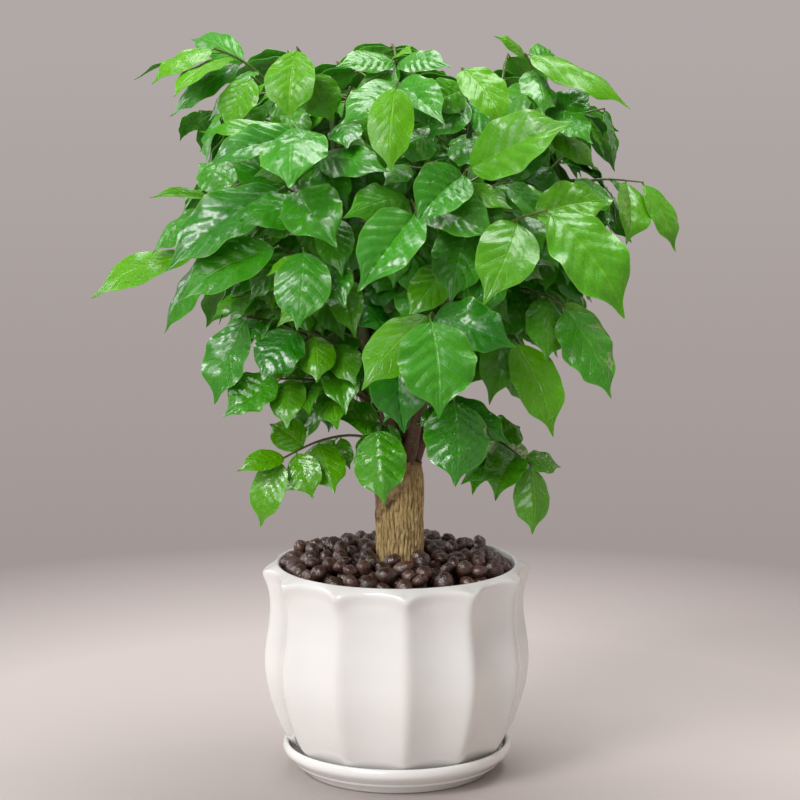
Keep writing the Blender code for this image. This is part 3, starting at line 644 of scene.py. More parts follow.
def shoot_skin(name, foot, top):
    """Brown below, green above, with pale pores and fine upright grooves."""
    skin, tree, shader, place = new_finish(name)
    young = carried(tree, "young")
    grooves = grain(tree, stretched(tree, place, 1100, 1100, 160), 1, 3)
    blots = grain(tree, place, 240, 3)
    pores = node(tree, "TexVoronoi", {"Vector": stretched(tree, place, 1, 1, 0.5), "Scale": 330}).outputs[0]
    ripe = spread(tree, plus(tree, young, times(tree, blots, 0.25)), 0.3, 0.75)
    body = colours(tree, ripe, foot, top)
    streaked = colours(tree, spread(tree, grooves, 0.35, 0.6, 0.5, 0), body, (0.014, 0.01, 0.006))
    dotted = colours(tree, spread(tree, pores, 0.12, 0.2, 0.55, 0), streaked, (0.30, 0.24, 0.15))
    set_shader(tree, shader, grooves, 0.4 * MM, Base_Color=dotted,
               Roughness=spread(tree, young, 0.1, 0.8, 0.7, 0.42))
    return skin


green_shoot = shoot_skin("green_shoot", (0.15, 0.085, 0.038), (0.075, 0.16, 0.022))
dark_shoot = shoot_skin("dark_shoot", (0.2, 0.095, 0.055), (0.06, 0.085, 0.02))
for name in STEMS:
    skin = dark_shoot if name == "right" else green_shoot
    add_piece(shoot_form(name), "shoot_" + name, skin, "green_wood", "stem_" + name, crease=60)

# ---- Leaves
# Compound leaves: a thin rachis grows out of a shoot and carries a terminal leaflet and pairs of side
# leaflets, each an oval, folded blade with a long drip tip, sunken veins and a shiny skin. The youngest
# are lime green, the oldest nearly black green. Each leaf is one piece, and lies where its solid lies.

RACHIS_RADIUS = 1.1 * MM
# name: shoot, how far up it, end of the rachis, and the leaflets that are placed one by one, each as
# (how far along the rachis, tip, width, roll in degrees, age from 0 for lime to 1 for dark)
FRONT_LEAVES = {
    "top_left": ("left", 0.98, (-104, -34, 433), (
        (1.0, (-139, -50, 415), 23, 0, 0.25), (0.72, (-124, -76, 409), 27, 0, 0.2),
        (0.86, (-152, -15, 415), 20, 30, 0.0), (0.55, (-122, 18, 437), 20, -25, 0.8),
        (0.6, (-131, -30, 396), 25, 0, 0.8))),
    "upper_left_front": ("left", 0.9, (-82, -50, 418), (
        (1.0, (-97, -62, 389), 28, 0, 0.4), (0.75, (-84, -84, 400), 25, 15, 0.55))),
    "top_front_left": ("front_left", 0.98, (-55, -85, 436), (
        (1.0, (-59, -102, 397), 33, 0, 0.05), (0.6, (-35, -74, 394), 27, 0, 0.35))),
    "top_centre": ("centre", 0.99, (-1, -40, 427), (
        (1.0, (8, -62, 433), 13, 0, 0.2), (0.85, (-14, -62, 431), 13, 10, 0.15),
        (0.5, (-34, -40, 424), 22, 0, 0.6), (0.4, (30, -44, 424), 24, 0, 0.7))),
    "top_arch": ("front_left", 0.9, (-26, -64, 413), (
        (1.0, (8, -94, 414), 27, 0, 0.9), (0.6, (-52, -98, 408), 27, 0, 0.65))),
    "front_lime": ("centre", 0.88, (0, -108, 417), (
        (1.0, (-3, -126, 370), 29, 0, 0.0), (0.7, (-30, -116, 398), 28, 0, 0.7),
        (0.66, (26, -116, 396), 28, 0, 0.75))),
    "upper_front_left": ("front_left", 0.8, (-58, -84, 393), (
        (1.0, (-58, -136, 366), 44, 0, 0.75), (0.85, (-106, -96, 373), 27, 0, 0.85),
        (0.7, (-110, -70, 391), 19, 20, 0.6), (0.45, (-6, -112, 372), 27, 0, 0.8))),
    "upper_right_lime": ("front_right", 0.99, (36, -80, 425), (
        (1.0, (59, -106, 393), 29, 0, 0.03), (0.6, (17, -104, 405), 26, 0, 0.6))),
    "top_right": ("right", 0.98, (73, -30, 430), (
        (1.0, (133, -46, 401), 32, 0, 0.2), (0.7, (83, -62, 399), 27, 0, 0.7),
        (0.75, (97, 10, 424), 23, 0, 0.7), (0.9, (56, -40, 441), 11, 0, 0.3))),
    "right_bright": ("front_right", 0.78, (38, -104, 370), (
        (1.0, (94, -126, 399), 41, 0, 0.4), (0.85, (10, -122, 343), 35, 0, 0.75))),
    "upper_right": ("right", 0.92, (84, -40, 394), (
        (1.0, (110, -62, 383), 29, 0, 0.8), (0.75, (112, -18, 408), 24, 0, 0.85),
        (0.7, (70, -80, 384), 27, 0, 0.8))),
    "right_quilted": ("front_right", 0.6, (82, -115, 349), (
        (1.0, (124, -138, 294), 47, 0, 0.4), (0.72, (47, -138, 302), 39, 0, 0.4),
        (0.85, (118, -108, 353), 33, 0, 0.3))),
    "far_right": ("right", 0.76, (141, -35, 357), (
        (1.0, (160, -46, 319), 23, 0, 0.4), (0.84, (130, -64, 325), 28, 0, 0.3),
        (0.7, (146, -4, 334), 28, 0, 0.85), (0.55, (104, -70, 342), 28, 0, 0.7))),
    "front_centre": ("front_right", 0.42, (18, -128, 292), (
        (1.0, (23, -151, 241), 49, 0, 0.78), (0.72, (-19, -141, 255), 35, 0, 0.35),
        (0.8, (65, -127, 277), 38, 0, 0.9))),
    "centre_upper": ("centre", 0.62, (11, -114, 348), (
        (1.0, (-21, -141, 309), 39, 0, 0.75), (0.8, (56, -117, 334), 35, 0, 0.7),
        (0.7, (-27, -120, 347), 29, 0, 0.7))),
    "centre_left": ("front_left", 0.66, (-55, -90, 359), (
        (1.0, (-33, -119, 331), 40, 0, 0.75), (0.75, (-86, -104, 341), 30, 0, 0.8))),
    "left_front_mid": ("front_left", 0.46, (-52, -95, 326), (
        (1.0, (-55, -117, 284), 37, 0, 0.8), (0.65, (-29, -107, 296), 26, 0, 0.75),
        (0.85, (-72, -112, 312), 15, 20, 0.1))),
    "left_long": ("left", 0.5, (-115, -40, 315), (
        (1.0, (-177, -40, 293), 29, 0, 0.25), (0.9, (-136, -32, 270), 25, 0, 0.7),
        (0.7, (-108, -8, 288), 26, 0, 0.8))),
    "left_upper": ("left", 0.78, (-112, -38, 342), (
        (1.0, (-141, -40, 317), 27, 0, 0.75), (0.85, (-140, -46, 351), 11, 0, 0.3),
        (0.6, (-116, -6, 366), 26, 0, 0.7))),
    "left_large": ("left", 0.64, (-63, -74, 358), (
        (1.0, (-129, -88, 313), 41, 0, 0.85), (0.7, (-96, -62, 374), 27, 0, 0.8))),
    "left_mid": ("left", 0.42, (-66, -84, 326), (
        (1.0, (-122, -96, 297), 37, 0, 0.78), (0.75, (-84, -66, 293), 25, 0, 0.7))),
    "left_glossy": ("left", 0.26, (-86, -54, 282), (
        (1.0, (-105, -62, 233), 33, 0, 0.8), (0.75, (-80, -78, 268), 26, 0, 0.8),
        (0.85, (-104, -26, 246), 26, 0, 0.9))),
    "left_inner": ("front_left", 0.28, (-56, -70, 277), (
        (1.0, (-76, -88, 251), 33, 0, 0.9), (0.8, (-45, -86, 250), 24, 0, 0.3),
        (0.55, (-24, -84, 248), 22, 0, 0.5))),
    "low_left_upper": ("left", 0.14, (-67, -60, 247), (
        (1.0, (-99, -67, 227), 31, 0, 0.6), (0.88, (-63, -76, 222), 25, 0, 0.5),
        (0.6, (-50, -78, 232), 23, 0, 0.6))),
    "low_front": ("front_left", 0.1, (-11, -60, 219), (
        (1.0, (-7, -77, 178), 35, 0, 0.6), (0.8, (-36, -78, 207), 29, 0, 0.45),
        (0.55, (-34, -62, 224), 26, 0, 0.55))),
    "low_left": ("left", 0.05, (-67, -60, 200), (
        (1.0, (-79, -66, 162), 25, 0, 0.2), (0.94, (-91, -56, 196), 19, 0, 0.2),
        (0.84, (-48, -73, 179), 23, 0, 0.25), (0.76, (-74, -42, 217), 24, 0, 0.2),
        (0.62, (-36, -62, 182), 25, 0, 0.25))),
    "low_right": ("right", 0.12, (77, -60, 197), (
        (1.0, (78, -67, 158), 25, 0, 0.3), (0.92, (95, -60, 194), 19, 0, 0.36),
        (0.84, (56, -78, 181), 27, 0, 0.45), (0.66, (37, -78, 190), 27, 0, 0.6),
        (0.6, (72, -40, 214), 28, 0, 0.5))),
    "low_centre_right": ("front_right", 0.14, (32, -92, 241), (
        (1.0, (33, -114, 196), 43, 0, 0.8), (0.75, (64, -88, 216), 27, 0, 0.85))),
    "right_pale": ("right", 0.34, (66, -80, 272), (
        (1.0, (88, -98, 221), 33, 0, 0.15), (0.78, (52, -108, 240), 24, 0, 0.5))),
    "right_low": ("right", 0.5, (95, -72, 290), (
        (1.0, (121, -88, 241), 35, 0, 0.7), (0.72, (84, -96, 262), 29, 0, 0.5),
        (0.9, (126, -50, 252), 25, 0, 0.2), (0.6, (96, -30, 262), 27, 0, 0.8))),
    "centre_low": ("centre", 0.32, (2, -80, 273), (
        (1.0, (4, -94, 222), 39, 0, 1.0), (0.75, (-20, -97, 284), 37, 0, 1.0))),
    "centre_right_upper": ("front_right", 0.88, (22, -64, 386), (
        (1.0, (-1, -92, 379), 28, 0, 0.7), (0.6, (60, -90, 372), 30, 0, 0.8))),
    "centre_right": ("front_right", 0.52, (42, -82, 340), (
        (1.0, (30, -108, 298), 36, 0, 0.8), (0.7, (76, -92, 318), 33, 0, 0.85))),
}
# name: shoot, how far up it, direction of the rachis in degrees (90 is the back), reach, end height
BACK_LEAVES = {
    "back_top_left": ("back_left", 0.98, 128, 108, 426),
    "back_top_right": ("back_right", 0.98, 52, 110, 424),
    "back_top": ("centre", 0.95, 92, 84, 430),
    "back_upper_left": ("back_left", 0.84, 158, 128, 392),
    "back_upper": ("back_left", 0.88, 100, 118, 400),
    "back_upper_right": ("back_right", 0.86, 28, 124, 392),
    "back_upper_mid": ("back_right", 0.8, 72, 124, 378),
    "back_left": ("back_left", 0.62, 146, 128, 352),
    "back_mid": ("back_left", 0.6, 106, 124, 340),
    "back_mid_right": ("back_right", 0.58, 62, 122, 340),
    "back_right": ("back_right", 0.64, 22, 128, 350),
    "back_low_left": ("back_left", 0.36, 152, 108, 296),
    "back_low": ("back_left", 0.32, 112, 104, 284),
    "back_low_mid": ("back_right", 0.3, 76, 102, 282),
    "back_low_right": ("back_right", 0.36, 34, 108, 294),
}
# Leaflets that have stayed small: leaf, which of its leaflets, and how much of its full size it has.
SMALL_LEAFLETS = {"low_front": {2: 0.6, 3: 0.42}, "low_left": {6: 0.5}, "low_centre_right": {2: 0.42},
                  "back_upper_left": {0: 0.5}, "upper_left_front": {2: 0.6}}
PAIR_PLACES = (0.5, 0.68, 0.86)
FILL_PLACES = (0.42,)
PAIR_LENGTH = 46 * MM
PAIR_WIDTH = 0.58
# How a leaflet may make room: its tip pushed back or forth in millimetres, and its roll in degrees.
NUDGES = ((0, 0), (-7, 0), (7, 0), (0, 14), (0, -14), (-12, 10), (12, -10), (-16, 0), (16, 0))
# How a leaflet of a pair may hang: swung out from the rachis and drooping, in degrees.
HANGS = ((50, 42), (35, 55), (70, 35), (50, 65), (25, 30), (80, 60), (45, 15))
# How a rachis may run: how much it arches over, and how much it bows sideways.
BENDS = ((0.16, 0), (0.08, 0.1), (0.08, -0.1), (0.26, 0), (0.2, 0.2), (0.2, -0.2), (0, 0))
ARCH = 0.07
FOLD = 0.32
BLADE_START = 0.05
BLADE_SLIM = 0.87   # the fine blade has a fuller outline than the solid, so it is narrower
BLADE_THICKNESS = 0.4 * MM


def rachis_path(stem, share, end, lift, bow):
    """Points of a rachis that leaves its shoot sideways and arches over to its end."""
    place, direction, radius = stem_point(stem, share)
    away = end - place
    sideways = (away - direction * away.dot(direction)).normalized()
    start = place + sideways * (radius + GAP)
    reach = (end - start).length
    cross = sideways.cross(UP)
    middle = start.lerp(end, 0.45) + UP * lift * reach + cross * bow * reach
    first = start + sideways * 2.5 * MM
    path = [start]
    for step in range(4):
        t = step / 3
        path.append(first * (1 - t) ** 2 + middle * 2 * t * (1 - t) + end * t ** 2)
    return path


def along_path(path, share):
    """The point at a share of a path's length, and the direction there."""
    lengths = [(end - start).length for start, end in zip(path, path[1:])]
    want = share * sum(lengths)
    for start, end, length in zip(path, path[1:], lengths):
        if want <= length:
            return start.lerp(end, want / length), (end - start).normalized()
        want -= length
    return path[-1], (path[-1] - path[-2]).normalized()


def facing(base, tip, roll):
    """The direction that a leaflet's upper face looks: up, outwards and to the near side."""
    along = (tip - base).normalized()
    middle = (base + tip) / 2
    outward = Vector((middle.x, middle.y, 0)).normalized()
    near = Vector((0, max(-1, min(1, middle.y / (50 * MM))), 0))
    look = UP * 0.6 + near * 0.5 + outward * 0.35
    normal = (look - along * look.dot(along)).normalized()
    return Matrix.Rotation(math.radians(roll), 3, along) @ normal


def half_width(t):
    """Half the width of a leaflet at t from base to tip, as a share of its most: ovate, long tip."""
    if t <= 0 or t >= 1:
        return 0
    return t ** 0.7 * (1 - t) ** 1.1 / 0.3003


def blade_width(v, shoulder):
    """Half the width of a fine blade: full below, then drawn out into a narrow drip tip."""
    if v <= 0 or v >= 1:
        return 0
    widest = shoulder / (shoulder + 0.8)
    body = (v / widest) ** shoulder * ((1 - v) / (1 - widest)) ** 0.8
    return body * (1 - 0.64 * smoothstep(0.7, 0.92, v))


def placed_tries(base, tip, width, roll):
    """Poses for a leaflet with a place of its own: as given, then nudged, rolled and made smaller."""
    for share in (1, 0.92, 0.84):
        for push, twist in NUDGES:
            moved = base + (tip + Vector((0, push * MM, 0)) - base) * share
            yield base, moved, width * share, roll + twist


def paired_tries(base, direction, hand, length, rise=0):
    """Poses for a leaflet of a pair: out to its side and drooping, then swung and made smaller."""
    side = direction.cross(UP).normalized() * hand
    ahead = Vector((direction.x, direction.y, 0)).normalized()
    for share in (1, 0.85, 0.7):
        for swing, droop in HANGS:
            flat = ahead * math.cos(math.radians(swing)) + side * math.sin(math.radians(swing))
            fall = math.radians(droop - rise)
            tip = base + (flat * math.cos(fall) - UP * math.sin(fall)) * length * share
            yield base, tip, length * share * PAIR_WIDTH, 0


def is_built(solid, leaflet, station):
    """Whether the leaf's solid has this leaflet: a corner at its tip and one on its edge."""
    base, tip, width, roll = leaflet
    if solid.find(tip)[2] > 0.05 * MM:
        return False
    normal = facing(base, tip, roll)
    side = (tip - base).normalized().cross(normal)
    half = max(width / 2 * half_width(station), 0.7 * MM)
    middle = base.lerp(tip, station) + normal * ARCH * (tip - base).length * 4 * station * (1 - station)
    edges = (middle + side * hand * half + normal * FOLD * half for hand in (1, -1))
    return any(solid.find(edge)[2] < 0.05 * MM for edge in edges)


def leaf_points(node_name):
    """The corners of a leaf's solid, ready to be searched."""
    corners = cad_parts[node_name].data.vertices
    solid = KDTree(len(corners))
    for corner in corners:
        solid.insert(corner.co, corner.index)
    solid.balance()
    return solid


def leaflets_on(solid, path, placed, pairs, lengths):
    """The leaflets that the solid has along a rachis, each with its age."""
    wishes = []
    for share, tip, width, roll, age in placed:
        base, _ = along_path(path, min(share, 0.985))
        wishes.append((0.5, age, placed_tries(base, Vector(tip) * MM, width * MM, roll)))
    if not placed:
        base, direction = along_path(path, 0.985)
        wishes.append((0.28, None, paired_tries(base, direction, 0.3, PAIR_LENGTH * 1.15)))
    for index, share in enumerate(pairs):
        for hand, length in zip((1, -1), lengths[2 * index:]):
            base, direction = along_path(path, share + 0.012 * hand)
            wishes.append((0.28, None, paired_tries(base, direction, hand, length)))
    found = []
    for station, age, tries in wishes:
        for leaflet in tries:
            if is_built(solid, leaflet, station):
                found.append((leaflet, age))
                break
    return found


def blade_pattern(across, along):
    """A flat blade, one unit long and two wide, with a second skin below it."""
    form = bmesh.new()
    bmesh.ops.create_grid(form, x_segments=across, y_segments=along, size=0.5)
    stretch = Matrix.Translation((0, 0.5, 0)) @ Matrix.Diagonal((2, 1, 1, 1))
    bmesh.ops.transform(form, verts=form.verts, matrix=stretch)
    bmesh.ops.solidify(form, geom=form.faces[:], thickness=1)
    mesh = bpy.data.meshes.new("blade_pattern")
    form.to_mesh(mesh)
    form.free()
    return mesh


class Habit:
    """How one leaflet differs from the next: its waves, twist, bend, veins and tip."""

    def __init__(self, chance, age):
        self.age = age
        self.tone = chance.random()
        self.wave = chance.uniform(0.4, 1.1) * (0.7 + 0.5 * age)
        self.phases = (chance.uniform(0, math.tau), chance.uniform(0, math.tau))
        self.count = chance.uniform(2.1, 3.2)
        self.twist = chance.uniform(-0.22, 0.22)
        self.bend = chance.uniform(-0.045, 0.045)
        self.veins = chance.choice((6.5, 7, 7.5))
        self.quilt = chance.uniform(0.6, 1.25) * (0.5 + 0.7 * age)
        self.curl = chance.uniform(0.2, 1.0)
        self.groove = chance.uniform(0.04, 0.1)
        self.crest = chance.uniform(-0.52, 0.22)
        self.skew = chance.uniform(-0.4, 0.4)
        self.shoulder = chance.uniform(0.5, 0.7)


def smoothstep(low, high, value):
    t = max(0, min(1, (value - low) / (high - low)))
    return t * t * (3 - 2 * t)


def vein_place(u, v, veins):
    """Which side vein a place lies at: the veins leave the midrib and sweep forward to the margin."""
    return v * veins - 2.3 * abs(u) ** 0.95


def shape_blade(leaflet, habit, u, v, under):
    """Where a place of the flat blade lies on the leaflet."""
    base, tip, width, roll = leaflet
    length = (tip - base).length
    normal = facing(base, tip, roll)
    along = (tip - base).normalized()
    t = BLADE_START + (1 - BLADE_START) * v
    turn = Matrix.Rotation(habit.twist * (t - 0.4), 3, along)
    normal = turn @ normal
    side = along.cross(normal)
    hump = 4 * t * (1 - t)
    droop = habit.curl * 0.09 * smoothstep(0.6, 1, t) ** 2 * (1 - smoothstep(0.9, 1.1, t) * 0.5)
    middle = base.lerp(tip, t) + normal * length * (ARCH * hump - droop) + side * habit.bend * length * hump
    half = max(width / 2 * BLADE_SLIM * blade_width(v, habit.shoulder), (0.55 - 0.35 * v) * MM)
    hand = 0 if u >= 0 else 1
    reach = abs(u)
    lift = habit.crest * (1 + habit.skew * (1 - 2 * hand)) * (1.2 * reach - 0.2 * reach ** 2)
    fold = habit.groove * (1 - math.exp(-reach / 0.14)) + lift
    vein = vein_place(u, v, habit.veins)
    puffed = 0.13 * habit.quilt * (1 + 0.4 * smoothstep(60 * MM, 38 * MM, length))
    quilt = puffed * (math.sin(math.pi * vein) ** 2 - 0.5) * math.sin(math.pi * min(1, reach * 1.1))
    pucker = 0.07 * noise.noise(Vector((2.4 * u + 9 * habit.phases[0], 6 * v, 9 * habit.phases[1])))
    ripple = 0.12 * habit.wave * reach ** 3 * math.sin(math.tau * habit.count * v + habit.phases[hand])
    scallop = math.sin(math.tau * 2 * habit.count * v + habit.phases[1 - hand])
    edge = 1 + 0.018 * habit.wave * reach * scallop
    rise = half * (fold + quilt + pucker + ripple)
    rib = 0.55 * MM * (1 - v) * math.exp(-(u * half / (0.9 * MM)) ** 2)
    drop = under * (BLADE_THICKNESS * (1 - 0.5 * reach) + rib) + (1 - under) * 0.25 * rib
    return middle + side * u * half * edge + normal * (rise - drop)


def add_leaflet(form, pattern, leaflet, habit):
    """Lays a blade pattern along a leaflet and marks every point with its place and kind."""
    place_of = form.verts.layers.float_vector["place"]
    kind_of = form.verts.layers.float_vector["kind"]
    first = len(form.verts)
    form.from_mesh(pattern)
    form.verts.ensure_lookup_table()
    for vert in form.verts[first:]:
        u, v, under = vert.co.x, vert.co.y, -vert.co.z
        vert[place_of] = (u, v, under)
        vert[kind_of] = (habit.age, habit.tone, habit.veins)
        vert.co = shape_blade(leaflet, habit, u, v, under)
    base = leaflet[0]
    start = shape_blade(leaflet, habit, 0, 0.02, 0.5)
    add_tube(form, [base, base.lerp(start, 0.5), start], [0.62 * MM, 0.5 * MM, 0.45 * MM], 5,
             (kind_of, [(habit.age, habit.tone, -1)] * 3))


FINE_BLADE = blade_pattern(12, 42)
PLAIN_BLADE = blade_pattern(8, 26)


def add_rachis(form, path, chance, size):
    """Adds a rachis, swollen where it leaves its shoot."""
    curve = smooth_path(path, 4)
    count = len(curve) - 1
    radii = [RACHIS_RADIUS * size * (1 - 0.45 * index / count) for index in range(count + 1)]
    radii[0] *= 1.5
    radii[1] *= 1.15
    kinds = [(chance.random(), chance.random(), -1 - index / count) for index in range(count + 1)]
    add_tube(form, curve, radii, 7, (form.verts.layers.float_vector["kind"], kinds))


def blade_tree(leaflet, habit):
    """A search tree of a leaflet's blade, with few faces, and its points."""
    columns, rows = (-1.0, -0.5, 0.0, 0.5, 1.0), 8
    points = [shape_blade(leaflet, habit, u, row / (rows - 1), 0.5) for row in range(rows) for u in columns]
    wide = len(columns)
    faces = [(first, first + 1, first + wide + 1, first + wide)
             for row in range(rows - 1) for first in range(row * wide, row * wide + wide - 1)]
    return BVHTree.FromPolygons(points, faces), points


def settle_blades(blades):
    """Folds each blade along its midrib as it would like to be, or as its neighbours leave room."""
    trees = [blade_tree(leaflet, habit)[0] for leaflet, habit in blades]
    for index, (leaflet, habit) in enumerate(blades):
        for crest in (habit.crest, habit.crest / 2, 0, 0.15, FOLD):
            habit.crest = crest
            trees[index] = blade_tree(leaflet, habit)[0]
            if not any(trees[index].overlap(tree) for other, tree in enumerate(trees) if other != index):
                break


def leaf_form(leaves, chance, pattern, size=1):
    """Leaves in one form, each a rachis with its leaflets."""
    form = bmesh.new()
    form.verts.layers.float_vector.new("place")
    form.verts.layers.float_vector.new("kind")
    for path, leaflets in leaves:
        add_rachis(form, path, chance, size)
        for leaflet, habit in leaflets:
            add_leaflet(form, pattern, leaflet, habit)
    bmesh.ops.recalc_face_normals(form, faces=form.faces)
    return form


def minus(tree, first, second):
    return maths(tree, "SUBTRACT", first, second)


MIST_TOP = 280 * MM
MIST_FULL = 220 * MM
# The colour of a blade by its age, from 0 for the youngest to 1 for the oldest.
BLADE_COLOURS = ((0.0, (0.100, 0.35, 0.001)), (0.18, (0.095, 0.33, 0.001)), (0.4, (0.080, 0.305, 0.002)),
                 (0.6, (0.058, 0.285, 0.003)), (0.8, (0.037, 0.255, 0.004)), (1.0, (0.010, 0.15, 0.002)))


def leaf_skin():
    """Blade and stalk in one finish: the kind of each point says how old it is and what it is."""
    skin, tree, shader, place = new_finish("glossy_leaf")
    u, v, under = node(tree, "SeparateXYZ", {0: carried(tree, "place", "Vector")}).outputs
    age, tone, veins = node(tree, "SeparateXYZ", {0: carried(tree, "kind", "Vector")}).outputs
    reach = maths(tree, "ABSOLUTE", u)
    # Side veins sweep forward from the midrib; fine net veins fill the fields between them.
    sweep = times(tree, maths(tree, "POWER", reach, 0.95), 2.3)
    vein = minus(tree, times(tree, v, veins), sweep)
    between = maths(tree, "FRACT", plus(tree, vein, 0.5))
    beside = maths(tree, "ABSOLUTE", minus(tree, between, 0.5))
    side_vein = times(tree, spread(tree, beside, 0.02, 0.085, 1, 0), spread(tree, reach, 0.8, 0.95, 1, 0))
    midrib = spread(tree, reach, 0.02, 0.06, 1, 0)
    net = node(tree, "TexVoronoi", {"Vector": place, "Scale": 520.0}, feature="DISTANCE_TO_EDGE").outputs[0]
    net_vein = spread(tree, net, 0.02, 0.12, 1, 0)
    broad = grain(tree, place, 55, 3)
    fine = grain(tree, place, 260, 3)
    old = plus(tree, age, times(tree, minus(tree, tone, 0.5), 0.12))
    old = plus(tree, old, times(tree, minus(tree, broad, 0.5), 0.3), clamp=True)
    ramp = node(tree, "ValToRGB", {0: old})
    points = ramp.color_ramp.elements
    while len(points) < len(BLADE_COLOURS):
        points.new(0.5)
    for point, (stop, colour) in zip(points, BLADE_COLOURS):
        point.position = stop
        point.color = (*colour, 1)
    blade = ramp.outputs[0]
    lighter = colours(tree, 1.0, blade, (1.7, 1.35, 2.5), "MULTIPLY")
    lines = maths(tree, "MAXIMUM", times(tree, side_vein, 0.45), midrib)
    veined = colours(tree, times(tree, lines, 0.6), blade, lighter)
    netted = colours(tree, times(tree, net_vein, 0.1), veined, lighter)
    margin = colours(tree, spread(tree, reach, 0.94, 1.0, 0, 0.5), netted, (0.2, 0.42, 0.04))
    below = colours(tree, 0.55, margin, (0.11, 0.22, 0.055))
    leaf_colour = colours(tree, spread(tree, under, 0.4, 0.6), margin, below)
    stalk = colours(tree, spread(tree, veins, -1.1, -1.9, 0, 1), (0.10, 0.21, 0.03), (0.12, 0.14, 0.038))
    brown = colours(tree, spread(tree, fine, 0.5, 0.65, 0, 0.45), stalk, (0.10, 0.05, 0.022))
    is_stalk = maths(tree, "LESS_THAN", veins, 0)
    colour = colours(tree, is_stalk, leaf_colour, brown)
    relief = minus(tree, times(tree, net_vein, -0.14), times(tree, lines, 0.7))
    relief = plus(tree, relief, times(tree, fine, spread(tree, age, 0.1, 0.7, 0.2, 0.7)))
    pucker = times(tree, grain(tree, place, 150, 1), spread(tree, age, 0.1, 0.7, 0.5, 1.5))
    relief = plus(tree, relief, pucker)
    # Mist has left a broken film of water and drops on patches of the lower leaves.
    low = spread(tree, along_axis(tree, place, "Z"), MIST_TOP, MIST_FULL, 0.1, 1)
    misted = times(tree, spread(tree, tone, 0.15, 0.4), low)
    wet = times(tree, spread(tree, broad, 0.38, 0.54), misted)
    beads = node(tree, "TexVoronoi", {"Vector": place, "Scale": 340.0}).outputs["Distance"]
    drops = plus(tree, spread(tree, beads, 0.1, 0.32, 0.8, 0), grain(tree, place, 480, 2))
    relief = plus(tree, relief, times(tree, drops, times(tree, wet, 1.7)))
    shine = plus(tree, spread(tree, fine, 0.3, 0.7, 0, 0.13), spread(tree, age, 0.1, 0.6, 0.2, 0.24))
    shine = minus(tree, shine, times(tree, wet, 0.17))
    film = times(tree, spread(tree, age, 0.15, 0.7, 0.05, 0.5), spread(tree, tone, 0.1, 0.7, 0.25, 1))
    film = plus(tree, film, times(tree, low, 0.5))
    dull = times(tree, under, 0.25)
    set_shader(tree, shader, relief, 0.3 * MM, Base_Color=colour, Roughness=plus(tree, shine, dull),
               Coat_Weight=times(tree, film, spread(tree, under, 0, 1, 1, 0)),
               Coat_Roughness=0.18, IOR=1.42, Subsurface_Weight=0.4, Subsurface_Scale=1 * MM,
               Subsurface_Radius=(0.4, 1.0, 0.08))
    return skin


# The ages of leaflets that have none of their own: young at the top of the back, full-grown elsewhere.
YOUNG = (0.15, 0.55)
GROWN = (0.35, 0.85)
YOUNG_HEIGHT = 400 * MM

glossy_leaf = leaf_skin()
growth = random.Random(7)
seeded = random.Random(21)
leaf_rows = {}
for name, (stem, share, end, placed) in FRONT_LEAVES.items():
    leaf_rows[name] = (stem, share, Vector(end) * MM, placed, FILL_PLACES)
for name, (stem, share, turn, reach, height) in BACK_LEAVES.items():
    end = Vector((reach * math.cos(math.radians(turn)), reach * math.sin(math.radians(turn)), height)) * MM
    leaf_rows[name] = (stem, share, end, (), PAIR_PLACES)
grown = {}
blades = []
for name, (stem, share, end, placed, pairs) in leaf_rows.items():
    lengths = [PAIR_LENGTH * growth.uniform(0.85, 1.12) for _ in range(2 * len(pairs))]
    solid = leaf_points("leaf_" + name)
    routes = []
    for lift, bow in BENDS:
        path = rachis_path(stem, share, end, lift, bow)
        routes.append((leaflets_on(solid, path, placed, pairs, lengths), path))
    leaflets, path = max(routes, key=lambda route: len(route[0]))
    for index, part in SMALL_LEAFLETS.get(name, {}).items():
        (base, tip, width, roll), age = leaflets[index]
        leaflets[index] = ((base, base.lerp(tip, part), width * part, roll), age)
    ages = YOUNG if not placed and end.z > YOUNG_HEIGHT else GROWN
    leaflets = [(leaflet, Habit(seeded, seeded.uniform(*ages) if age is None else age))
                for leaflet, age in leaflets]
    grown[name] = (path, leaflets, FINE_BLADE if placed else PLAIN_BLADE)
    blades += leaflets
settle_blades(blades)
for name, (path, leaflets, pattern) in grown.items():
    add_piece(leaf_form([(path, leaflets)], seeded, pattern), "foliage_" + name, glossy_leaf, "leaf",
              "leaf_" + name, crease=60)

# ---- Inner leaves
# Smaller compound leaves of the same kind that fill the inside and the back of the crown. They grow
# from the same shoots, clear of every leaf that is there, and none hangs in front of a front leaf.

INNER_TRIES = 220
INNER_LENGTH = (26 * MM, 43 * MM)
INNER_REACH = (28, 72)     # how far from its shoot a leaf ends, in millimetres
INNER_SHARES = (0.62, 0.84)
INNER_LEAST = 3            # a leaf with fewer leaflets isn't grown
TOP_START = 390 * MM       # from here up, the leaves are younger and their leaflets droop less
TOP_RISE = 26
INNER_BLADE = blade_pattern(6, 16)
# Radius of the crown at a height, in millimetres, from the lowest leaves to the top.
CROWN = ((190, 30), (215, 58), (245, 90), (280, 116), (320, 134), (370, 132), (400, 118), (442, 100))
CROWN_FRONT = -96 * MM
TO_THE_BACK = Vector((0, 1, -0.17)).normalized()


def crown_radius(height):
    """The radius of the crown at a height, or 0 above and below it."""
    for (low, inner), (high, outer) in zip(CROWN, CROWN[1:]):
        if low * MM <= height <= high * MM:
            return (inner + (outer - inner) * (height / MM - low) / (high - low)) * MM
    return 0


def in_crown(place):
    """Whether a place lies in the crown, behind its front."""
    return math.hypot(place.x, place.y) < crown_radius(place.z) and place.y > CROWN_FRONT


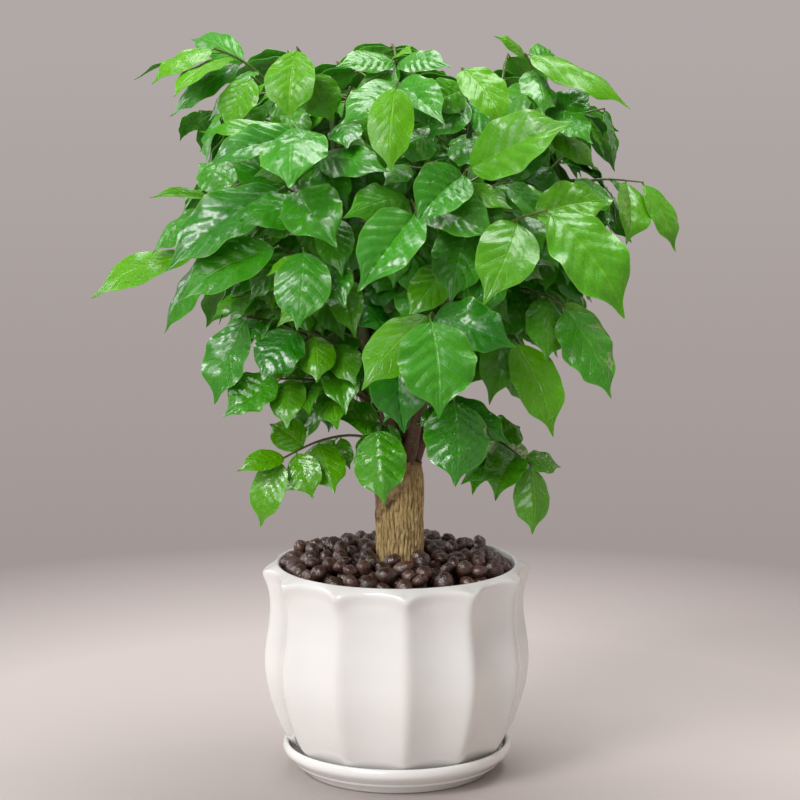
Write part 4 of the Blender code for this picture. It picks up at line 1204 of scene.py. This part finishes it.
def surface_tree(shape):
    """A search tree of a finished piece's faces."""
    form = bmesh.new()
    form.from_mesh(shape.data)
    tree = BVHTree.FromBMesh(form)
    form.free()
    return tree


def grown_leaflet(tries, habit, others, front):
    """The first of the poses that lies in the crown, touches nothing and hides no front leaf."""
    for leaflet in tries:
        if not in_crown(leaflet[1]):
            continue
        tree, points = blade_tree(leaflet, habit)
        if any(piece.ray_cast(point, TO_THE_BACK)[0] for point in points[2::10] for piece in front):
            continue
        if not any(tree.overlap(other) for other in others):
            return leaflet, tree
    return None, None


pieces = {name: surface_tree(bpy.data.objects["foliage_" + name]) for name in leaf_rows}
front_trees = [pieces[name] for name in FRONT_LEAVES]
all_trees = list(pieces.values()) + [surface_tree(bpy.data.objects["shoot_" + name]) for name in STEMS]
sprout = random.Random(11)
inner_leaves = {}
for number in range(INNER_TRIES):
    stem = list(STEMS)[number % len(STEMS)]
    share = 0.06 + 0.91 * sprout.random() ** 0.75
    place, _, _ = stem_point(stem, share)
    turn = sprout.uniform(0, math.tau)
    reach = sprout.uniform(*INNER_REACH) * MM
    end = place + Vector((reach * math.cos(turn), reach * math.sin(turn), sprout.uniform(-4, 22) * MM))
    high = max(0, end.z - TOP_START) / (40 * MM)
    ages = (max(0.05, 0.5 - 0.45 * high), max(0.45, 0.9 - 0.4 * high))
    path = rachis_path(stem, share, end, 0.12, sprout.uniform(-0.1, 0.1))
    wishes = [(0.985, 0.3, 1.15)] + [(where, hand, 1) for where in INNER_SHARES for hand in (1, -1)]
    found = []
    trees = []
    for where, hand, part in wishes:
        base, direction = along_path(path, where)
        length = sprout.uniform(*INNER_LENGTH) * part
        habit = Habit(sprout, sprout.uniform(*ages))
        tries = paired_tries(base, direction, hand, length, TOP_RISE * min(1, high))
        leaflet, tree = grown_leaflet(tries, habit, all_trees + trees, front_trees)
        if leaflet:
            found.append((leaflet, habit))
            trees.append(tree)
    if len(found) < INNER_LEAST:
        continue
    all_trees += trees
    inner_leaves.setdefault(stem, []).append((path, found))
for stem, leaves in inner_leaves.items():
    form = leaf_form(leaves, sprout, INNER_BLADE, 0.8)
    add_piece(form, "inner_leaves_" + stem, glossy_leaf, "leaf", crease=60)

# ---- Studio
# A pale floor that fades into a wall, which is painted darker towards the floor as painted shade. Soft
# light comes from above and from the upper left, with weak lights behind, and the camera stands a little
# higher than the crown and looks slightly down.


def softbox(name, place, aim, size, power, colour=(1, 1, 1)):
    """A lamp with an even rectangular face, aimed at a place, that the camera doesn't see."""
    lamp = bpy.data.lights.new(name, "AREA")
    lamp.shape = "RECTANGLE"
    lamp.size, lamp.size_y = size
    lamp.energy = power
    lamp.color = colour
    item = new_object(name, lamp)
    item.location = place
    item.visible_camera = False
    item.rotation_euler = (Vector(aim) - Vector(place)).to_track_quat("-Z", "Y").to_euler()


floor_form = bmesh.new()
bmesh.ops.create_grid(floor_form, x_segments=1, y_segments=1, size=60)
floor_mesh = bpy.data.meshes.new("floor")
floor_form.to_mesh(floor_mesh)
floor_form.free()
floor = new_object("floor", floor_mesh)
floor_skin, floor_tree, floor_shader, floor_place = new_finish("pale_floor")
away = node(floor_tree, "VectorMath", {0: floor_place}, operation="LENGTH").outputs["Value"]
set_shader(floor_tree, floor_shader, Base_Color=(0.43, 0.383, 0.363), Roughness=0.6,
           Alpha=spread(floor_tree, away, 0.33, 0.62, 1, 0))
floor_mesh.materials.append(floor_skin)

softbox("key", (-1.05, -1.95, 1.1), (0, 0, 0.25), (1.3, 1.3), 21)
softbox("sky", (0.15, 0.45, 2.3), (0, 0, 0.3), (1.7, 1.2), 50)
softbox("rim", (-1.5, 0.7, 0.8), (0, 0, 0.3), (0.6, 1.1), 8)
softbox("edge", (1.5, 0.5, 0.7), (0, 0, 0.25), (0.3, 1.0), 2.2, (1, 0.65, 0.48))

daylight = bpy.data.lights.new("daylight", "SUN")
daylight.energy = 1.5
daylight.angle = math.radians(18)
daylight_item = new_object("daylight", daylight)
daylight_item.rotation_euler = Vector((1.2, 1.3, -1.6)).to_track_quat("-Z", "Y").to_euler()

world = bpy.data.worlds.new("studio")
bpy.context.scene.world = world
world.use_nodes = True
air = world.node_tree
seen = node(air, "LightPath").outputs["Is Camera Ray"]
height = along_axis(air, node(air, "TexCoord").outputs["Generated"], "Z")
# The wall that the camera sees is painted darker towards the floor: painted shade.
wall = colours(air, spread(air, height, -0.23, -0.05), (0.352, 0.305, 0.295), (0.44, 0.395, 0.385))
air.links.new(colours(air, seen, (0.34, 0.325, 0.32), wall), air.nodes["Background"].inputs["Color"])

lens = bpy.data.cameras.new("camera")
lens.lens = 128.9
lens.sensor_width = 36
camera = new_object("camera", lens)
camera.location = (0.0018, -1.67, 0.510)
camera.rotation_euler = (math.radians(90 - 9.7), 0, 0)
bpy.context.scene.camera = camera
bpy.context.scene.view_settings.view_transform = "Standard"
